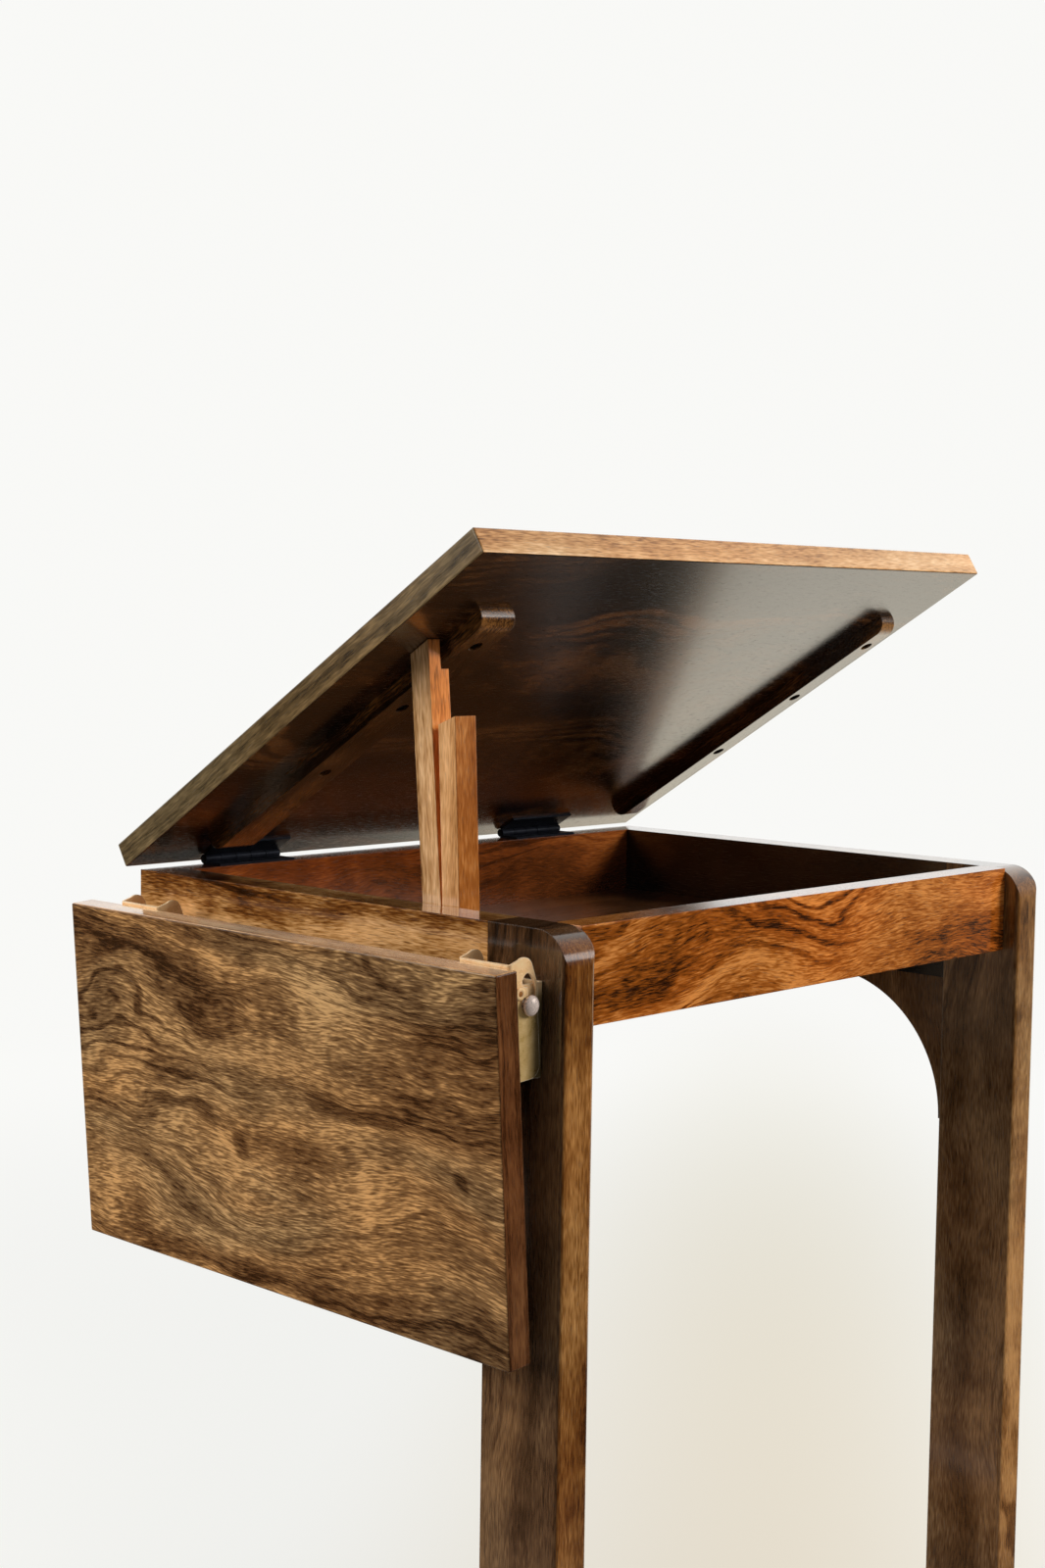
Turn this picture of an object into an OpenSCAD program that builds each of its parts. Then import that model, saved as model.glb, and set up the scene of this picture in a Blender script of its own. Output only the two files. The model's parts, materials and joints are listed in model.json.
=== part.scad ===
// Laptop table: a C-shaped stand with a shallow tray, a top that tilts on two folding props,
// and a drop leaf on a pair of folding brackets.
// +X is the side with the leaf, +Y the side with the legs, +Z up, the floor at 0.

/* [Stand] */
// Width over the two side frames
frame_w = 475; // [450:1:500]
// Depth from the legs' outer face to the hinge rail's outer face
frame_d = 368.4; // [350:0.1:385]
// Height of the tray's rim above the floor
rim_h = 672; // [600:1:720]
// Thickness of the side boards
board_t = 25; // [23:0.5:28]
// Width of a leg
leg_w = 57; // [50:1:64]
// Round on the outer corners of the side frames
corner_r = 20; // [14:1:24]
// Softening of the legs' long outer edges
edge_r = 3; // [1:0.5:5]
// Height of the tray's side rails
side_rail_h = 80; // [70:1:90]
// Height of the cross rail, the hinge rail and the stretcher
cross_rail_h = 55.5; // [55:0.5:66]
// Thickness of the cross rail and the stretcher
cross_rail_t = 19.5; // [16:0.5:22]
// How far the cross rail sits behind the legs' outer face
cross_rail_inset = 11; // [8:0.5:14]
// Thickness of the hinge rail
hinge_rail_t = 20; // [17:0.5:22]
// Height of the floor runners
runner_h = 57; // [50:1:64]
// Round at the lower front corner of a runner
runner_toe_r = 5; // [3:0.5:10]
// Softening of the long edges of the top and the leaf
arris_r = 1; // [0.5:0.25:2]

/* [Gussets] */
// Radius of a gusset's hollow curve
gusset_r = 94; // [80:1:110]
// Blunt end of a gusset on the rail
gusset_lip = 5; // [3:0.5:8]
// Blunt end of a gusset on the leg
gusset_toe = 1; // [0.8:0.1:3]

/* [Tray] */
// Depth of the tray from its rim to its floor
tray_depth = 46; // [44:0.5:47]
// Thickness of the tray floor
tray_floor_t = 9; // [6:0.5:10]
// How far the tray floor is let into the side rails
tray_groove = 6; // [4:0.5:8]
// Play of the tray floor in its grooves
groove_play = 0.1; // [0.05:0.05:0.3]

/* [Dowels] */
// Radius of a joint dowel
dowel_r = 4; // [3:0.5:5]
// Length of a dowel on each side of its joint
dowel_reach = 13; // [10:0.5:15]
// Play between a dowel or a screw and its hole
fit_play = 0.05; // [0.02:0.01:0.1]
// Distance of a dowel from the edge of its board
dowel_edge = 14; // [10:0.5:18]

/* [Glides] */
// Radius of a nail-on glide
glide_r = 10; // [8:0.5:12]
// Height of a glide below the wood
glide_h = 4; // [3:0.5:6]
// Radius of a glide's nail
glide_nail_r = 1.2; // [1:0.1:1.6]
// Length of a glide's nail in the wood
glide_nail_l = 14; // [10:1:18]
// Distance of a glide from the end of its side frame
glide_in = 36; // [32:1:44]

/* [Tilting top] */
// Length of the top along its slope
top_l = 375; // [360:1:378]
// Thickness of the top
top_t = 16.3; // [14:0.1:20]
// Overhang of the top past each side frame
top_over = 6; // [3:0.5:12]
// Tilt of the top on the tall prop
top_tilt = 31.8; // [29:0.1:34]
// Tilt of the top when it rests on the short prop
low_tilt = 21.7; // [19:0.1:24]
// Length of the top beyond the hinge axis
top_tail = 9.6; // [7:0.1:10]

/* [Butt hinges] */
// Length of a butt hinge
hinge_l = 63; // [50:1:76]
// Radius of the hinge barrel
barrel_r = 3; // [2.6:0.1:3.2]
// Distance of the hinge axis from the wood on either side
axis_rise = 3.3; // [3.25:0.01:3.6]
// Distance of the hinge axis behind the hinge rail's outer face
axis_in = 1.6; // [1:0.1:3]
// Width of a hinge leaf from the axis
hinge_leaf_w = 17.5; // [15:0.1:18]
// Thickness of a hinge leaf
hinge_leaf_t = 1.5; // [1.2:0.1:1.8]
// Radius of the hinge pin
hinge_pin_r = 1.3; // [1:0.1:1.5]
// Gap between two knuckles
knuckle_gap = 0.4; // [0.3:0.05:0.6]
// Distance of the right hinge from the right side frame's outer face
hinge_in_right = 49; // [46:1:90]
// Distance of the left hinge from the left side frame's outer face
hinge_in_left = 85; // [46:1:110]
// Length of a hinge screw
hinge_screw_l = 12; // [9:0.5:13]
// Radius of a hinge screw
hinge_screw_r = 1.6; // [1.3:0.1:1.9]
// Radius of a hinge screw's countersunk head
hinge_head_r = 2.9; // [2.7:0.1:3.2]
// Depth of a hinge screw's countersink
hinge_sink = 1; // [0.7:0.1:1.1]

/* [Battens] */
// Depth of a batten below the top
batten_d = 10; // [9:0.5:12]
// Start of a batten along the slope from the hinge axis
batten_start = 22.5; // [20:0.5:30]
// End of a batten along the slope from the hinge axis
batten_end = 308.5; // [300:0.5:316]
// Round at both ends of a batten
batten_r = 9; // [6:0.5:9]
// Width of the wide batten beside the props
wide_batten_w = 27; // [22:0.5:32]
// Width of the narrow batten at the other side
narrow_batten_w = 14.5; // [12:0.5:18]
// Gap between the tall prop's tongue and the wide batten
wide_batten_gap = 4.5; // [2:0.1:8]
// Gap between the narrow batten and the side rail
narrow_batten_gap = 1.5; // [1:0.1:4]
// Distance of a batten's middle screw from its start
batten_screw_mid = 189; // [180:1:196]
// Spacing from the middle screw to the one nearer the hinge
batten_screw_low = 81; // [70:1:90]
// Spacing from the middle screw to the one nearer the end
batten_screw_high = 72; // [60:1:80]

/* [Props] */
// Width of the tall prop, front to back
tall_w = 15; // [13:0.5:16]
// Thickness of the tall prop, side to side
tall_t = 15.3; // [13:0.1:18]
// Thickness of the tongue at the tall prop's top
tongue_t = 9.2; // [7:0.1:10]
// Depth of the shoulder below the tongue's tip
shoulder_drop = 17; // [14:0.5:22]
// Lean of the tall prop towards the hinge
tall_lean = 5; // [4:0.1:7]
// Distance of the tall prop's pivot from the legs' outer face
tall_pivot_in = 125; // [120:0.5:135]
// Width of the short prop, front to back
short_w = 13.5; // [12:0.5:14]
// Thickness of the short prop, side to side
short_t = 16.5; // [14:0.5:18]
// Lean of the short prop towards the hinge
short_lean = 2.8; // [2:0.1:3.8]
// Gap between pieces that pass each other
run_gap = 0.4; // [0.3:0.05:0.6]
// Gap between the tall prop and the tray floor when it lies flat
prop_floor_gap = 1; // [0.6:0.1:1.5]
// Gap between the two props when they lie flat
prop_stack_gap = 1.75; // [1:0.05:2]
// Radius of a prop's pivot screw
pivot_r = 2.5; // [2:0.1:3]
// Length of a pivot screw in the side rail
pivot_screw_l = 15; // [12:0.5:17]
// Radius of a pivot screw's head
pivot_head_r = 4.5; // [4:0.1:5]
// Height of a pivot screw's head
pivot_head_h = 3; // [2:0.1:4]
// Thickness of the washer between a prop and the side rail
washer_t = 1; // [0.8:0.1:1.5]
// Radius of a washer
washer_r = 6; // [5:0.1:6.5]

/* [Drop leaf] */
// Height of the leaf as it hangs
leaf_h = 213; // [190:1:230]
// Length of the leaf, front to back
leaf_l = 373; // [362:1:385]
// Thickness of the leaf
leaf_t = 16.3; // [16:0.1:20]
// Distance of the leaf's end from the legs' outer face
leaf_in = 7; // [3:0.5:10]
// Lean of the leaf's lower edge towards the stand
leaf_lean = 4; // [2:0.1:4.5]

/* [Folding brackets] */
// Width of a bracket over its leaf channel
bracket_w = 38; // [34:0.5:42]
// Distance of the leg's bracket from the legs' outer face
leg_bracket_in = 13; // [11:0.5:14]
// Distance of the side rail's bracket from the leaf's front end
rail_bracket_in = 29.6; // [26:0.1:40]
// Sheet thickness of the channels
sheet_t = 1.5; // [1.2:0.1:1.8]
// Bend radius inside a channel
bend_r = 0.8; // [0.5:0.1:0.9]
// Distance of a bracket's pivot from the stand
pivot_out = 20.7; // [20.5:0.1:22]
// Distance of a bracket's pivot below the rim
pivot_drop = 32; // [30:0.5:34]
// Distance of the pivot from the leaf's inner face
pivot_to_leaf = 7; // [6.8:0.1:7.4]
// Distance of the leaf's upper edge above the pivot
leaf_rise = 14.7; // [14:0.1:15.2]
// Length of a channel below the pivot
channel_down = 47; // [44:0.5:47.5]
// Reach of a leaf channel's cheeks from the leaf
cheek_reach = 20.6; // [20:0.1:21]
// Radius of a leaf channel's cheek round the pivot
lobe_r = 14.2; // [13.9:0.1:15]
// Radius of the crest on a leaf channel's cheek
crest_r = 6.8; // [6:0.1:7.2]
// Height of the crest's centre above the pivot
crest_up = 12.2; // [11.5:0.1:12.6]
// Distance of the crest's centre from the pivot towards the stand
crest_back = 3.2; // [2.5:0.1:4]
// Rise of a leaf channel's web above the leaf's upper edge
web_rise = 1.3; // [0.5:0.1:2]
// Reach of a frame channel's cheeks from the stand
inner_reach = 16; // [14:0.5:16.5]
// Radius of a frame channel's ear round the pivot
ear_r = 4.9; // [4.7:0.05:4.95]
// Height of a frame channel's top edge above the pivot
inner_top = 4.2; // [3.5:0.1:4.5]
// Round at the lower end of a channel's cheeks
foot_r = 7.5; // [6:0.5:9]
// Radius of the hollow pivot rivet
rivet_r = 2.5; // [2.2:0.1:2.6]
// Radius of the hole through the rivet
rivet_bore_r = 1.5; // [1.2:0.1:1.7]
// Radius of a rivet's flange
rivet_flange_r = 3.4; // [3:0.1:3.8]
// Thickness of a rivet's flange
rivet_flange_t = 0.9; // [0.7:0.1:1.1]

/* [Lock] */
// Radius of the lock pin
lock_r = 2.5; // [2.2:0.1:2.6]
// Distance of the lock pin from the pivot as the leaf turns
lock_orbit = 9.6; // [9.4:0.05:9.8]
// Direction of the lock pin from the pivot
lock_dir = 224; // [220:1:228]
// Travel of the lock pin towards the pivot
lock_travel = 2; // [1.8:0.1:2.1]
// Turn of the leaf from hanging to level
leaf_turn = 94; // [92:0.1:95]
// Play of the lock pin in the curved slot, to each side
slot_play = 0.4; // [0.3:0.05:0.5]
// Radius of the round notch at the slot's end
notch_r = 5; // [4.9:0.05:5.2]
// Radius of a lock pin's head
lock_head_r = 5.6; // [5.3:0.1:6]
// Height of a lock pin's domed head
lock_head_h = 3; // [2:0.1:3.5]
// Neck of the lock pin between cheek and head
lock_neck = 1.7; // [1.6:0.1:2]
// Radius of the lock spring's wire
spring_wire_r = 0.5; // [0.4:0.05:0.6]
// Whole turns of the lock spring's coil
spring_turns = 3; // [2:1:4]
// Distance from one turn of the spring to the next
spring_pitch = 1.5; // [1.45:0.05:1.8]

/* [Screws] */
// Radius of a bracket or batten screw
screw_r = 2; // [1.7:0.1:2.3]
// Radius of a screw's head
screw_head_r = 3.8; // [3.5:0.1:4]
// Height of a screw's head
screw_head_h = 2.2; // [1.8:0.1:2.5]
// Length of a bracket screw in the wood
bracket_screw_l = 12; // [9:0.5:12.5]
// Length of a batten screw in the top
batten_screw_l = 10; // [7:0.5:12]
// Depth of a batten's counterbore
counterbore = 4; // [3:0.5:5]
// Radius of a batten's counterbore
counterbore_r = 4.2; // [4.1:0.1:5]
// Radius of the cross recess, half its length
recess_l = 2; // [1.5:0.1:2.3]

/* [Hidden] */
$fn = 64;
eps = 0.01;
over = 1;
recess_w = 0.8;
recess_d = 1.1;
knuckles = 5;
hinge_screws = 3;
spring_sides = 6;
spring_steps = 16;
spring_play = 0.4;
tail_play = 0.1;
notch_shift = 0.2;
// Widening of the hook's mouth and narrowing of its seat, against the slot's half width
hook_flare = 0.2;
hook_pinch = 0.1;
// Width of a knuckle's root and of a screw head's top, as shares of their radius
root_share = 0.6;
head_share = 0.8;
// Direction in which the leaf channel's shoulder leaves its crest, and how far inside the crest's
// circle it starts
shoulder_dir = 70;
shoulder_tuck = 0.3;
// Direction from the pivot in which the spring's coil ends
coil_to = 90;

wood_dark = "#5a351c";
wood_mid = "#7a4a26";
wood_pale = "#b98252";
zinc = "#c9ab63";
nickel = "#c8c8c4";
black_steel = "#26272b";
beech = "#caa878";
nylon = "#2b2724";

// How far a board's softened corner (u, v) reaches when the board is turned
function corner_reach(u, v, turn) = (u - arris_r) * cos(turn) + (v - arris_r) * sin(turn) + arris_r;

// Placement of the main lines of the table, whose overall box is centred on the origin
leaf_reach = pivot_out + corner_reach(pivot_to_leaf + leaf_t, leaf_rise, leaf_lean);
front_reach = frame_d - axis_in + corner_reach(top_tail, axis_rise + top_t, top_tilt);
x_right = (frame_w + top_over - leaf_reach) / 2;
x_left = x_right - frame_w;
y_back = front_reach / 2;
y_front = y_back - frame_d;
y_leg = y_back - leg_w;
y_axis = y_front + axis_in;
z_axis = rim_h + axis_rise;
wood_base = glide_h;
x_in_right = x_right - board_t;
x_in_left = x_left + board_t;
clear_w = x_in_right - x_in_left;
side_x0 = [x_left, x_in_right];
runner_top = wood_base + runner_h;
rail_base = rim_h - side_rail_h;
cross_base = rim_h - cross_rail_h;
cross_y = y_back - cross_rail_inset - cross_rail_t;
hinge_y = y_front + hinge_rail_t;

// Placement of the props and the battens
prop_x = x_in_right - washer_t - run_gap;
tall_y = y_back - tall_pivot_in;
tall_z = rim_h - tray_depth + prop_floor_gap + tall_w / 2;
short_rise = (tall_w + short_w) / 2 + prop_stack_gap;
short_shift = (run_gap + (tall_w + short_w) / 2 - short_rise * sin(tall_lean)) / cos(tall_lean);
short_y = tall_y + short_shift;
short_z = tall_z + short_rise;
wide_batten_x = prop_x - tongue_t - wide_batten_gap - wide_batten_w;
narrow_batten_x = x_in_left + narrow_batten_gap;
batten_xs = [wide_batten_x, narrow_batten_x];
batten_ws = [wide_batten_w, narrow_batten_w];
batten_screw_s = batten_start + batten_screw_mid;
batten_screw_at = [batten_screw_s - batten_screw_low, batten_screw_s, batten_screw_s + batten_screw_high];

// Placement of the hinges
hinge_x0 = [x_right - hinge_in_right - hinge_l, x_left + hinge_in_left];
knuckle_l = hinge_l / knuckles;
hinge_screw_x = [for (i = [0:hinge_screws - 1]) hinge_l * (i + 0.5) / hinge_screws];
hinge_screw_y = (barrel_r + hinge_leaf_w) / 2;

// Placement of the brackets
pivot = [x_right + pivot_out, rim_h - pivot_drop];
cheek_gap = run_gap;
leaf_front = y_back - leaf_in - leaf_l;
bracket_y = [y_back - leg_bracket_in - bracket_w / 2, leaf_front + rail_bracket_in + bracket_w / 2];
web_face = pivot_to_leaf;
web_inner = pivot_to_leaf - sheet_t;
cheek_edge = pivot_to_leaf - cheek_reach;
inner_w = bracket_w - 2 * sheet_t - 2 * cheek_gap;
leaf_screw_at = [-20, -38];
frame_screw_at = [-20, -38];
slot_r = lock_r + slot_play;
level_dir = lock_dir - leaf_turn;
flange_y = bracket_w / 2 + run_gap;
coil_r = rivet_r + spring_play + spring_wire_r;

// Extrudes a (y, z) outline along +X
module along_x(length) {
    rotate([90, 0, 90]) linear_extrude(length) children();
}

// Extrudes an (x, z) outline along Y, centred
module along_y(length) {
    rotate([90, 0, 0]) linear_extrude(length, center = true) children();
}

// A rod along +X, +Y or +Z from a start point
module rod_x(start, length, r) {
    translate(start) rotate([0, 90, 0]) cylinder(h = length, r = r);
}

module rod_y(start, length, r) {
    translate(start) rotate([-90, 0, 0]) cylinder(h = length, r = r);
}

module rod_z(start, length, r) {
    translate(start) cylinder(h = length, r = r);
}

// A rectangle with a round at chosen corners: lower left, lower right, upper right, upper left
module round_rect(size, radii) {
    corners = [[0, 0], [1, 0], [1, 1], [0, 1]];
    difference() {
        square(size);
        for (i = [0:3]) if (radii[i] > 0) corner_cut(
            [corners[i][0] * size[0], corners[i][1] * size[1]],
            [1 - 2 * corners[i][0], 1 - 2 * corners[i][1]],
            radii[i]
        );
    }
}

// What a round takes off a square corner; inward points from the corner into the shape
module corner_cut(corner, inward, r) {
    translate(corner) difference() {
        translate([inward[0] > 0 ? -over : -r, inward[1] > 0 ? -over : -r]) square(r + over);
        translate(inward * r) circle(r);
    }
}

// Outer tangent band of two circles, as a polygon between their tangent points
module tangent_band(a, ra, b, rb) {
    d = norm(b - a);
    base = atan2(b[1] - a[1], b[0] - a[0]);
    spread = acos((ra - rb) / d);
    near = [cos(base + spread), sin(base + spread)];
    far = [cos(base - spread), sin(base - spread)];
    polygon([a + ra * near, a + ra * far, b + rb * far, b + rb * near]);
    translate(a) circle(ra);
    translate(b) circle(rb);
}

// A flat ring sector between two directions, for curved slots
module arc_band(r, half_w, from, to) {
    reach = (r + half_w) * 2;
    mid = (from + to) / 2;
    intersection() {
        difference() {
            circle(r + half_w);
            circle(r - half_w);
        }
        polygon([
            [0, 0],
            reach * [cos(from), sin(from)],
            reach * [cos(mid), sin(mid)],
            reach * [cos(to), sin(to)]
        ]);
    }
}

// Every joint dowel: its centre and its direction, 0 along X and 1 along Y
function rail_ends(y, zs) = [for (x = [x_in_left, x_in_right], z = zs) [[x, y, z], 0]];
function board_ends(zs) = [for (x = side_x0, z = zs) [[x + board_t / 2, y_leg, z], 1]];
upper_dowel_z = [rim_h - dowel_edge, cross_base + dowel_edge];
lower_dowel_z = [wood_base + dowel_edge, wood_base + cross_rail_h - dowel_edge];
side_dowel_z = [rim_h - dowel_edge - dowel_r * 2, rail_base + dowel_edge];
runner_dowel_z = [wood_base + dowel_edge, runner_top - dowel_edge];
cross_mid_y = cross_y + cross_rail_t / 2;
hinge_mid_y = y_front + hinge_rail_t / 2;
dowels = concat(
    rail_ends(cross_mid_y, upper_dowel_z),
    rail_ends(cross_mid_y, lower_dowel_z),
    rail_ends(hinge_mid_y, upper_dowel_z),
    board_ends(side_dowel_z),
    board_ends(runner_dowel_z)
);

module dowel_set(r, reach) {
    for (d = dowels) {
        if (d[1] == 0) rod_x(d[0] - [reach, 0, 0], 2 * reach, r);
        else rod_y(d[0] - [0, reach, 0], 2 * reach, r);
    }
}

module dowel_holes() {
    dowel_set(dowel_r + fit_play, dowel_reach + run_gap);
}

module frame_dowels() {
    color(beech) dowel_set(dowel_r, dowel_reach);
}

// Nail-on glides under both ends of each side frame
glide_at = [for (x = side_x0, y = [y_front + glide_in, y_back - glide_in]) [x + board_t / 2, y, 0]];

module glides() {
    color(nylon) for (p = glide_at) {
        rod_z(p, glide_h, glide_r);
        rod_z(p, glide_h + glide_nail_l, glide_nail_r);
    }
}

module glide_holes() {
    for (p = glide_at) {
        rod_z(p + [0, 0, wood_base - eps], glide_nail_l + run_gap + eps, glide_nail_r + fit_play);
    }
}

// A leg: full height, rounded at its two outer corners and softened along its long outer edges
module leg(side) {
    height = rim_h - wood_base;
    color(wood_dark) difference() {
        translate([side_x0[side], y_leg, wood_base]) intersection() {
            along_x(board_t) round_rect([leg_w, height], [0, corner_r, corner_r, 0]);
            linear_extrude(height) round_rect([board_t, leg_w], [0, 0, edge_r, edge_r]);
        }
        dowel_holes();
        glide_holes();
        if (side == 1) bracket_pilot_holes();
    }
}

// A side rail of the tray, with a groove for the tray floor
module side_rail(side) {
    groove_x = side == 0 ? x_in_left - tray_groove - groove_play : x_in_right - over;
    color(wood_mid) difference() {
        translate([side_x0[side], y_front, rail_base])
            cube([board_t, frame_d - leg_w, side_rail_h]);
        translate([groove_x, hinge_y, rim_h - tray_depth - tray_floor_t - groove_play])
            cube([
                tray_groove + groove_play + over,
                y_leg - hinge_y + over,
                tray_floor_t + 2 * groove_play
            ]);
        dowel_holes();
        if (side == 1) {
            bracket_pilot_holes();
            pivot_holes();
        }
    }
}

// A runner on the floor, rounded at its free end
module runner(side) {
    color(wood_dark) difference() {
        translate([side_x0[side], y_front, wood_base])
            along_x(board_t) round_rect([frame_d - leg_w, runner_h], [runner_toe_r, 0, 0, corner_r]);
        dowel_holes();
        glide_holes();
    }
}

// A gusset between a leg and a rail: a square block with a quarter-round hollow
module gusset(side, upper) {
    reach = gusset_r + gusset_toe;
    drop = gusset_r + gusset_lip;
    z = upper ? rail_base : runner_top;
    flip = upper ? -1 : 1;
    color(wood_dark) translate([side_x0[side], y_leg - reach, z]) along_x(board_t) difference() {
        translate([0, upper ? -drop : 0]) square([reach, drop]);
        translate([0, flip * drop]) circle(gusset_r);
    }
}

// A board between the side frames, behind the legs' outer face
module cross_board(z) {
    difference() {
        translate([x_in_left, cross_y, z]) cube([clear_w, cross_rail_t, cross_rail_h]);
        dowel_holes();
    }
}

module cross_rail() {
    color(wood_mid) cross_board(cross_base);
}

module stretcher() {
    color(wood_dark) cross_board(wood_base);
}

module hinge_rail() {
    color(wood_mid) difference() {
        translate([x_in_left, y_front, cross_base]) cube([clear_w, hinge_rail_t, cross_rail_h]);
        dowel_holes();
        hinge_pilot_holes();
    }
}

// The tray floor, tongued into the side rails and butted against the rails at both ends
module tray_floor() {
    z = rim_h - tray_depth - tray_floor_t;
    color(wood_pale) {
        translate([x_in_left, hinge_y, z]) cube([clear_w, cross_y - hinge_y, tray_floor_t]);
        translate([x_in_left - tray_groove, hinge_y, z])
            cube([clear_w + 2 * tray_groove, y_leg - hinge_y, tray_floor_t]);
    }
}

// The top's own frame: origin on the hinge axis, +Y up the slope, +Z out of the top
module on_top() {
    translate([0, y_axis, z_axis]) rotate([top_tilt, 0, 0]) children();
}

// The working board, with the long edges at its lower and upper end softened
module top_panel() {
    color(wood_mid) difference() {
        on_top() translate([x_left - top_over, -top_tail, axis_rise])
            along_x(frame_w + 2 * top_over) round_rect([top_l, top_t], [arris_r, arris_r, arris_r, arris_r]);
        on_top() hinge_top_pilot_holes();
        on_top() batten_holes();
    }
}

// A batten under the top, rounded down at both ends, with three sunk screws
module batten(i) {
    length = batten_end - batten_start;
    color(wood_dark) on_top() difference() {
        translate([batten_xs[i], batten_start, axis_rise - batten_d])
            along_x(batten_ws[i]) round_rect([length, batten_d], [batten_r, batten_r, 0, 0]);
        batten_holes();
    }
}

module batten_holes() {
    for (i = [0, 1], s = batten_screw_at) {
        x = batten_xs[i] + batten_ws[i] / 2;
        rod_z([x, s, axis_rise - batten_d - over], counterbore + over, counterbore_r);
        rod_z(
            [x, s, axis_rise - batten_d],
            batten_d + batten_screw_l + run_gap,
            screw_r + fit_play
        );
    }
}

// A pan-head screw pointing up, its head's seat at the origin, with a cross recess
module screw(length, r, head_r, head_h) {
    difference() {
        union() {
            translate([0, 0, -head_h]) cylinder(h = head_h, r1 = head_r * head_share, r2 = head_r);
            cylinder(h = length, r = r);
        }
        for (turn = [0, 90]) rotate([0, 0, turn])
            translate([-recess_l, -recess_w / 2, -head_h - over])
            cube([2 * recess_l, recess_w, recess_d + over]);
    }
}

module batten_screws() {
    color(black_steel) on_top() for (i = [0, 1], s = batten_screw_at) {
        x = batten_xs[i] + batten_ws[i] / 2;
        translate([x, s, axis_rise - batten_d + counterbore])
            screw(batten_d - counterbore + batten_screw_l, screw_r, screw_head_r, screw_head_h);
    }
}

// One leaf of a butt hinge in its own frame: barrel along X, plate towards +Y at height -axis_rise
module hinge_leaf(own) {
    rod_r = hinge_pin_r + fit_play;
    difference() {
        union() {
            translate([0, 0, -axis_rise]) cube([hinge_l, hinge_leaf_w, hinge_leaf_t]);
            for (k = own) {
                x0 = k * knuckle_l + knuckle_gap / 2;
                rod_x([x0, 0, 0], knuckle_l - knuckle_gap, barrel_r);
                translate([x0, 0, -axis_rise])
                    cube([knuckle_l - knuckle_gap, barrel_r * root_share, axis_rise]);
            }
        }
        for (k = [0:knuckles - 1]) if (len(search(k, own)) == 0)
            rod_x([k * knuckle_l - knuckle_gap / 2, 0, 0], knuckle_l + knuckle_gap, barrel_r + run_gap);
        rod_x([-over, 0, 0], hinge_l + 2 * over, rod_r);
        for (x = hinge_screw_x) {
            rod_z([x, hinge_screw_y, -axis_rise - over], 2 * axis_rise, hinge_screw_r + fit_play);
            translate([x, hinge_screw_y, -axis_rise + hinge_leaf_t - hinge_sink])
                cylinder(h = hinge_sink + eps, r1 = hinge_screw_r + fit_play, r2 = hinge_head_r);
        }
    }
}

// Countersunk screws of one hinge leaf, pointing down
module hinge_screw_row() {
    for (x = hinge_screw_x) translate([x, hinge_screw_y, -axis_rise + hinge_leaf_t]) difference() {
        union() {
            translate([0, 0, -hinge_sink]) cylinder(
                h = hinge_sink, r1 = hinge_screw_r, r2 = hinge_head_r - fit_play
            );
            translate([0, 0, -hinge_screw_l]) cylinder(h = hinge_screw_l - eps, r = hinge_screw_r);
        }
        for (turn = [0, 90]) rotate([0, 0, turn])
            translate([-recess_l, -recess_w / 2, -recess_d / 2]) cube([2 * recess_l, recess_w, over]);
    }
}

// Pilot holes below one hinge leaf
module hinge_holes() {
    for (x = hinge_screw_x)
        rod_z([x, hinge_screw_y, -axis_rise - hinge_screw_l], hinge_screw_l + eps, hinge_screw_r + fit_play);
}

// A hinge part's place on the hinge rail, and its place under the top
module on_rail(i) {
    translate([hinge_x0[i], y_axis, z_axis]) children();
}

module under_top(i) {
    translate([hinge_x0[i], 0, 0]) mirror([0, 0, 1]) children();
}

module hinge_pilot_holes() {
    for (i = [0, 1]) on_rail(i) hinge_holes();
}

module hinge_top_pilot_holes() {
    for (i = [0, 1]) under_top(i) hinge_holes();
}

module hinge_frame_leaf(i) {
    color(black_steel) on_rail(i) hinge_leaf([0, 2, 4]);
}

module hinge_top_leaf(i) {
    color(black_steel) on_top() under_top(i) hinge_leaf([1, 3]);
}

module hinge_pin(i) {
    color(black_steel) on_rail(i) rod_x([0, 0, 0], hinge_l, hinge_pin_r);
}

module hinge_rail_screws() {
    color(black_steel) for (i = [0, 1]) on_rail(i) hinge_screw_row();
}

module hinge_top_screws() {
    color(black_steel) on_top() for (i = [0, 1]) under_top(i) hinge_screw_row();
}

// Height along a prop, at a distance u from its centre line, where it meets the top at a given tilt
function prop_reach(y, z, lean, tilt, u) =
    (axis_rise - run_gap + (y - y_axis) * sin(tilt) - (z - z_axis) * cos(tilt) + u * sin(tilt - lean))
    / cos(tilt - lean);

// A prop's outline in (y, z): round at its pivot and bevelled to the top's tilt
module prop_outline(y, z, lean, tilt, w) {
    polygon([
        [-w / 2, 0],
        [w / 2, 0],
        [w / 2, prop_reach(y, z, lean, tilt, w / 2)],
        [-w / 2, prop_reach(y, z, lean, tilt, -w / 2)]
    ]);
    circle(w / 2);
}

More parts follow.
